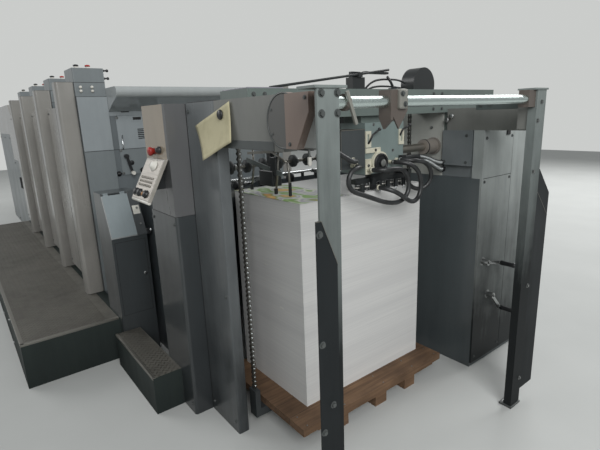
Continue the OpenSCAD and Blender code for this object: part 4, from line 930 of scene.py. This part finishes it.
# Thin bright strips along the head's top and front edges: painted highlight on the edges
boxes("head_edge_highlights", [(2300, -181, 1522, 2452, -13, 1526), (head_x - 2, -181, 1334, head_x + 1.5, -178, 1524)],
      edge_bar, 0.8)
boxes("cream_plates", [(head_x - 1, -12, 1403, head_x + 7, 98, 1428), (head_x - 1, -12, 1294, head_x + 5, 29, 1374)],
      cream, 1.5)
boxes("head_switch_box", [(head_x - 1, 246, 1330, head_x + 26, 282, 1374)], black_plastic, 3)
bolts("head_bolts", [(head_x, y, z) for y in (50, 140, 236) for z in (1545,)] + [(head_x + 6, 60, 1416),
      (head_x + 6, 8, 1340), (head_x, 200, 1405), (head_x, 130, 1302)], (1, 0, 0), zinc, 11)
rod("slot_levers", [[(head_x + 2, 8, 1450), (head_x + 12, 10, 1462), (head_x + 20, 22, 1494), (head_x + 26, 66, 1520)],
                    [(head_x + 2, 254, 1478), (head_x + 12, 250, 1490), (head_x + 20, 258, 1513),
                     (head_x + 26, 304, 1531)]], 5, black_plastic)
turned("lever_knobs", [(0, 0), (7, 2), (9, 8), (7, 14), (0, 16)], [(head_x + 18, 66, 1521), (head_x + 18, 304, 1532)],
       black_plastic, "X", 16)
turned("wheel_cap", [(0, 0), (19, 0), (19, 3), (12, 6), (0, 6)], [(2484, 88, 1348)],
       moulded("grey moulded cap", "#6f716e", "#4c4e4c"), "X")
turned("wheel_rim", [(36, 0), (38, 5), (44, 7), (49, 5), (50.5, 0)], [(2470, 88, 1348)], black_plastic, "X", 40)
hose_clip = [(11, 0), (13.8, 0.6), (14.6, 2), (14.6, 8), (13.8, 9.4), (11, 10)]
turned("hose_clips", hose_clip, [(2478, y, z) for y, z in ((5, 1320), (-109, 1350), (-130, 1380), (-330, 1455),
                                                           (57, 1223))], cream, "X")
turned("steel_hose_clips", hose_clip, [(2478, 172, 1345), (2478, 225, 1352)], zinc, "X")
turned("elbow_clip", hose_clip, [(2474, 300, 1238)], zinc, "Z")
# Suckers: bellows of dark rubber with a white ring, each under a zinc-plated nut
sucker_spots = [(2410, -27.5 + 65 * k, 1209) for k in range(6)]
bellows = [(0, -4), (17, -4), (18, -2), (15, 2), (15, 5), (17, 8), (14.5, 11), (16.5, 14), (14, 17), (16, 20),
           (14, 24), (0, 24)]
turned("sucker_bellows", bellows, sucker_spots, moulded("dark bellows rubber", "#2c2e2f", "#434546"), "Z", 20)
turned("sucker_rings", [(14, 13), (17.5, 13.5), (17.5, 19), (14, 19.5)], sucker_spots, white_plastic, "Z", 20)
turned("sucker_nuts", [(0, 0), (16, 0), (16, 8), (0, 8)], [(x, y, 1234) for x, y, z in sucker_spots], zinc, "Z", 6)
boxes("blow_nozzles", [(2448, y, 1206, 2462, y + 22, 1248) for y in (-48, 82, 147, 212, 277)], dark_bar, 2)
turned("nozzle_tips", [(0, 0), (5, 0), (6, 2), (6, 16), (4, 18), (0, 18)],
       [(2455, y + 11, z) for y in (-48, 82, 147, 212, 277) for z in (1190,)], bright_rod, "Z", 12)

# Ribbed steel conduits from the wall to the head
flexible_steel = steel("interlocked steel hose", "#777a7a", 0.36)
for name, points in (("first_conduit", [(2420, 701, 1292), (2420, 668, 1292), (2422, 610, 1306), (2424, 540, 1330),
                                        (2424, 470, 1346), (2420, 400, 1352), (2416, 330, 1352), (2414, 284, 1352)]),
                     ("second_conduit", [(2424, 701, 1252), (2426, 668, 1254), (2430, 610, 1278), (2434, 550, 1305),
                                         (2434, 490, 1322), (2428, 410, 1326), (2420, 340, 1322),
                                         (2414, 284, 1318)])):
    route = smooth_route([Vector(p) / 1000 for p in points], 60)
    conduit = tube(name, route, 0.0115, hose_rubber, (0, -1, 0), (0, -1, 0), 14)
    tube(f"{name}_armour", route[50:250], 0.0135, flexible_steel, sides=14, rib=0.0022, ribs_every=0.011)
turned("conduit_glands", [(0, 0), (18, 0), (18, 8), (15, 12), (15, 20), (0, 20)],
       [(2420, 701, 1292), (2424, 701, 1252)], black_plastic, "-Y", 20)
turned("conduit_head_glands", [(0, 0), (17, 0), (17, 8), (14, 12), (14, 18), (0, 18)],
       [(2414, 284, 1352), (2414, 284, 1318)], black_plastic, "Y", 20)
turned("sleeve_ring", [(44, 0), (46, 1), (46, 7), (44, 8)], [(2350, 596, 1390)], dark_gap, "Y", 32)
turned("shaft_collar", [(22, 0), (31, 1), (32, 3), (32, 17), (31, 19), (22, 20)], [(2350, 290, 1390)], zinc, "Y", 32)

# Gear on the cross beam: lever, clamp and motor cover are black, and two thin cables lie over the top
bolts("cross_beam_bolts", [(2440, y, z) for y in (-655, -600, 560, 640) for z in (1612, 1696)], (1, 0, 0),
      painted_bolt, 14)
boxes("beam_end_plate", [(2230, -684, 1719, 2436, -500, 1725)], enamel("pale plate enamel", "#85848c", "#5b5a60"), 2)
rod("release_lever", [[(2352, 306, 1722), (2352, 306, 1742), (2352, 290, 1764), (2352, 262, 1790)]], 7, black_plastic)
boxes("release_foot", [(2336, 288, 1720, 2368, 330, 1732)], dark_bar, 2)
boxes("clamp_arm", [(2350, 66, 1800, 2378, 245, 1812)], dark_bar, 3)
cable_rubber = moulded("black cable sheath", "#202224", "#383b3c", rough=0.45)
for name, points in (("upper_cable", [(2330, 112, 1726), (2328, 132, 1741), (2326, 160, 1757), (2325, 195, 1770),
                                      (2325, 230, 1776), (2325, 268, 1779), (2325, 306, 1779), (2325, 345, 1779),
                                      (2326, 383, 1776), (2328, 415, 1768), (2332, 443, 1757), (2336, 470, 1744),
                                      (2340, 492, 1738)]),
                     ("lower_cable", [(2310, 150, 1725), (2308, 172, 1731), (2306, 199, 1738), (2305, 230, 1742),
                                      (2305, 262, 1744), (2305, 300, 1744), (2305, 340, 1743), (2306, 380, 1740),
                                      (2308, 415, 1736), (2310, 445, 1731), (2314, 470, 1728), (2320, 492, 1728)])):
    route = smooth_route([Vector(p) / 1000 for p in points], 3)
    cable = tube(name, route, 0.0055, cable_rubber, (0, 0.7, 0.714), (0, 1, 0), 10)
boxes("cable_glands", [(2318, 100, 1719, 2342, 120, 1731), (2300, 140, 1719, 2320, 158, 1729),
                       (2300, 488, 1719, 2352, 520, 1750)], black_plastic, 3)

# Sheet separators that hang over the pile near the operator side: a light bar, a diagonal bar and a block
separator_y = -330
drawn("light_separator_bar", [([(1860, 1400), (2194, 1424), (2194, 1438), (1860, 1414)], separator_y - 22,
                               separator_y - 15)], edge_bar, "Y")
drawn("diagonal_bar", [([(1860, 1358), (2194, 1301), (2194, 1326), (1860, 1383)], separator_y - 30,
                        separator_y - 22)], enamel("worn grey bar enamel", "#5b6361", "#3a403f"), "Y")
boxes("separator_block", [(2000, separator_y - 40, 1243, 2126, separator_y + 20, 1325),
                          (2040, separator_y - 14, 1325, 2080, separator_y + 14, 1442),
                          (2100, separator_y - 34, 1300, 2150, separator_y - 4, 1400)], dark_bar, 3)
rod("separator_rods", [[(2114, separator_y - 26, 1422), (2180, separator_y - 26, 1400),
                        (2242, separator_y - 26, 1377)],
                       [(2242, separator_y - 26, 1377), (2252, separator_y - 24, 1330),
                        (2252, separator_y - 20, 1226)],
                       [(2150, separator_y - 10, 1442), (2150, separator_y - 20, 1330),
                        (2140, separator_y - 30, 1215)],
                       [(1900, separator_y - 10, 1442), (1910, separator_y - 16, 1330),
                        (1900, separator_y - 30, 1212)]], 6, edge_bar)
boxes("sheet_stops", [(2246, separator_y - 27, 1206, 2258, separator_y - 13, 1276),
                      (2134, separator_y - 38, 1206, 2148, separator_y - 22, 1236),
                      (1894, separator_y - 38, 1206, 1908, separator_y - 22, 1236)], black_plastic, 2)
# The plate is white to stand in for the bright light from behind that shows here: painted light
boxes("guide_plate_as_painted_light", [(2404, separator_y - 24, 1370, 2416, separator_y - 6, 1411)], white_plastic, 2)
boxes("guide_plate_arm", [(2404, separator_y - 20, 1408, 2414, separator_y - 12, 1446)], zinc, 1)
for side, y in (("operator", separator_y), ("drive", -separator_y)):
    turned(f"{side}_separator_knobs", [(0, 0), (12, 0), (14, 3), (14, 14), (10, 18), (0, 18)],
           [(x, y, 1470) for x in (1960, 2120)], black_plastic, "Z", 16)
    bolts(f"{side}_separator_bolts", [(x, y - 15, 1455) for x in (1900, 2010, 2180, 2330)], (0, -1, 0), zinc, 11)

# ---- Pile hoist, board and paper ----
# The board of pine planks hangs on four roller chains and carries a full pile of white paper. The top
# sheets are printed in plain colour fields and don't lie quite square.
dress(steel("oiled chain steel", "#6a6965", 0.34), "hoist_chains")
chain_pins = [(x, y, 221.9 + 25.4 * k) for x in (2225, 1885) for y in (-620, 620) for k in range(54)]
for side, label in ((1, "near"), (-1, "far")):
    bolts(f"{label}_pin_heads", [(x + side * 11, y, z) for x, y, z in chain_pins], (side, 0, 0), bright_rod, 6)
dress(enamel("dark carrier enamel", "#3a3e40", "#242728"), "board_carriers")
# Sawn softwood, worn and dirty: fibres across the press about 4 mm wide, planks about 100 mm wide
planks, tree, out = new_surface("worn pine planks")
spot = add(tree, "ShaderNodeTexCoord").outputs["Object"]
grain = add(tree, "ShaderNodeTexNoise", {"Vector": add(
    tree, "ShaderNodeMapping", {"Vector": spot, "Scale": (60.0, 3.0, 60.0)}).outputs[0], "Scale": 1.0, "Detail": 5.0})
dirt = add(tree, "ShaderNodeTexNoise", {"Vector": spot, "Scale": 5.0, "Detail": 5.0})
mixed = add(tree, "ShaderNodeMath", {0: grain.outputs["Fac"], 1: dirt.outputs["Fac"]}, operation="MULTIPLY")
shade = add(tree, "ShaderNodeBsdfPrincipled", {
    "Base Color": two_tones(tree, mixed.outputs[0], "#4b3829", "#7f634a", 0.08, 0.42), "Roughness": 0.85,
    "Normal": add(tree, "ShaderNodeBump", {"Height": grain.outputs["Fac"], "Strength": 0.25,
                                           "Distance": 0.002}).outputs[0]})
tree.links.new(shade.outputs[0], out.inputs["Surface"])
dress(planks, "pile_board")
board_high = 130
boxes("plank_gaps", [(x, -571.5, 92, x + 2, 516.5, board_high + 0.4) for x in (2345, 2462)], dark_gap, 0.4)
bolts("plank_nails", [(x, y, board_high) for x in (2482, 2562) for y in (-536, -285, 15, 265, 480)], (0, 0, 1),
      zinc, 6)

# Paper: thousands of edges, which show as faint lines about 3 mm apart with a slightly darker ream here
# and there
paper, tree, out = new_surface("stacked white paper")
spot = add(tree, "ShaderNodeTexCoord").outputs["Object"]
layers = add(tree, "ShaderNodeTexNoise", {"Vector": add(
    tree, "ShaderNodeMapping", {"Vector": spot, "Scale": (1.5, 1.5, 340.0)}).outputs[0], "Scale": 1.0, "Detail": 3.0})
reams = add(tree, "ShaderNodeTexNoise", {"Vector": add(
    tree, "ShaderNodeMapping", {"Vector": spot, "Scale": (0.7, 0.7, 14.0)}).outputs[0], "Scale": 1.0, "Detail": 4.0})
both_noises = add(tree, "ShaderNodeMath", {0: layers.outputs["Fac"], 1: reams.outputs["Fac"]}, operation="MULTIPLY")
shade = add(tree, "ShaderNodeBsdfPrincipled", {
    "Base Color": two_tones(tree, both_noises.outputs[0], "#cbcbca", "#d8d8d6", 0.1, 0.34), "Roughness": 0.85,
    "Normal": add(tree, "ShaderNodeBump", {"Height": layers.outputs["Fac"], "Strength": 0.35,
                                           "Distance": 0.001}).outputs[0]})
tree.links.new(shade.outputs[0], out.inputs["Surface"])
dress(paper, "paper_stack", "delivery_stack")
# Coated paper printed in plain colour fields, each about 100 mm across, that run into each other
printed, tree, out = new_surface("printed coated paper")
spot = add(tree, "ShaderNodeTexCoord").outputs["Object"]
fields = add(tree, "ShaderNodeTexNoise", {"Vector": add(tree, "ShaderNodeMapping", {
    "Vector": spot, "Scale": (6.5, 9.0, 1.0), "Location": (3.1, 0.4, 0.0)}).outputs[0], "Scale": 1.0, "Detail": 1.5})
inks = add(tree, "ShaderNodeValToRGB", {"Fac": fields.outputs["Fac"]})
stops = (("#dcddd8", 0.3), ("#8fb068", 0.38), ("#7aa04f", 0.43), ("#d8dbcf", 0.47), ("#a9a5b1", 0.51),
         ("#c9cbc6", 0.55), ("#83974f", 0.59), ("#d29a63", 0.63), ("#d2bd70", 0.7), ("#dadbd7", 0.76))
for place_on, (colour, spot_on) in enumerate(stops):
    stop = inks.color_ramp.elements[place_on] if place_on < 2 else inks.color_ramp.elements.new(spot_on)
    stop.position, stop.color = spot_on, linear(colour)
shade = add(tree, "ShaderNodeBsdfPrincipled", {"Base Color": inks.outputs["Color"], "Roughness": 0.45})
tree.links.new(shade.outputs[0], out.inputs["Surface"])
stack_top = 1203


def askew(x0, y0, x1, y1, degrees):
    """Outline of a sheet turned a little about its middle."""
    cx, cy, a = (x0 + x1) / 2, (y0 + y1) / 2, math.radians(degrees)
    return [(cx + (x - cx) * math.cos(a) - (y - cy) * math.sin(a), cy + (x - cx) * math.sin(a)
             + (y - cy) * math.cos(a)) for x, y in ((x0, y0), (x1, y0), (x1, y1), (x0, y1))]


drawn("loose_sheets", [(askew(1853 + dx, -444 + dy, 2450 + dx, 444 + dy, turn), stack_top + 0.4 * k,
                        stack_top + 0.4 * k + 0.4)
                       for k, (dx, dy, turn) in enumerate(((1, -2, 0.2), (-2, 1, -0.25), (2, -1, 0.15)))], paper)
drawn("printed_sheets", [(askew(1850, -447, 2449, -150, 0.3), stack_top + 1.2, stack_top + 1.6),
                         (askew(1856, -441, 2447, -128, -0.5), stack_top + 1.6, stack_top + 2.0)], printed)
boxes("side_tabs", [(1990 + 130 * k, -447, stack_top - 160 - 210 * k, 2016 + 130 * k, -443, stack_top - 158 - 210 * k)
                    for k in range(3)], label_paper, 0.3)
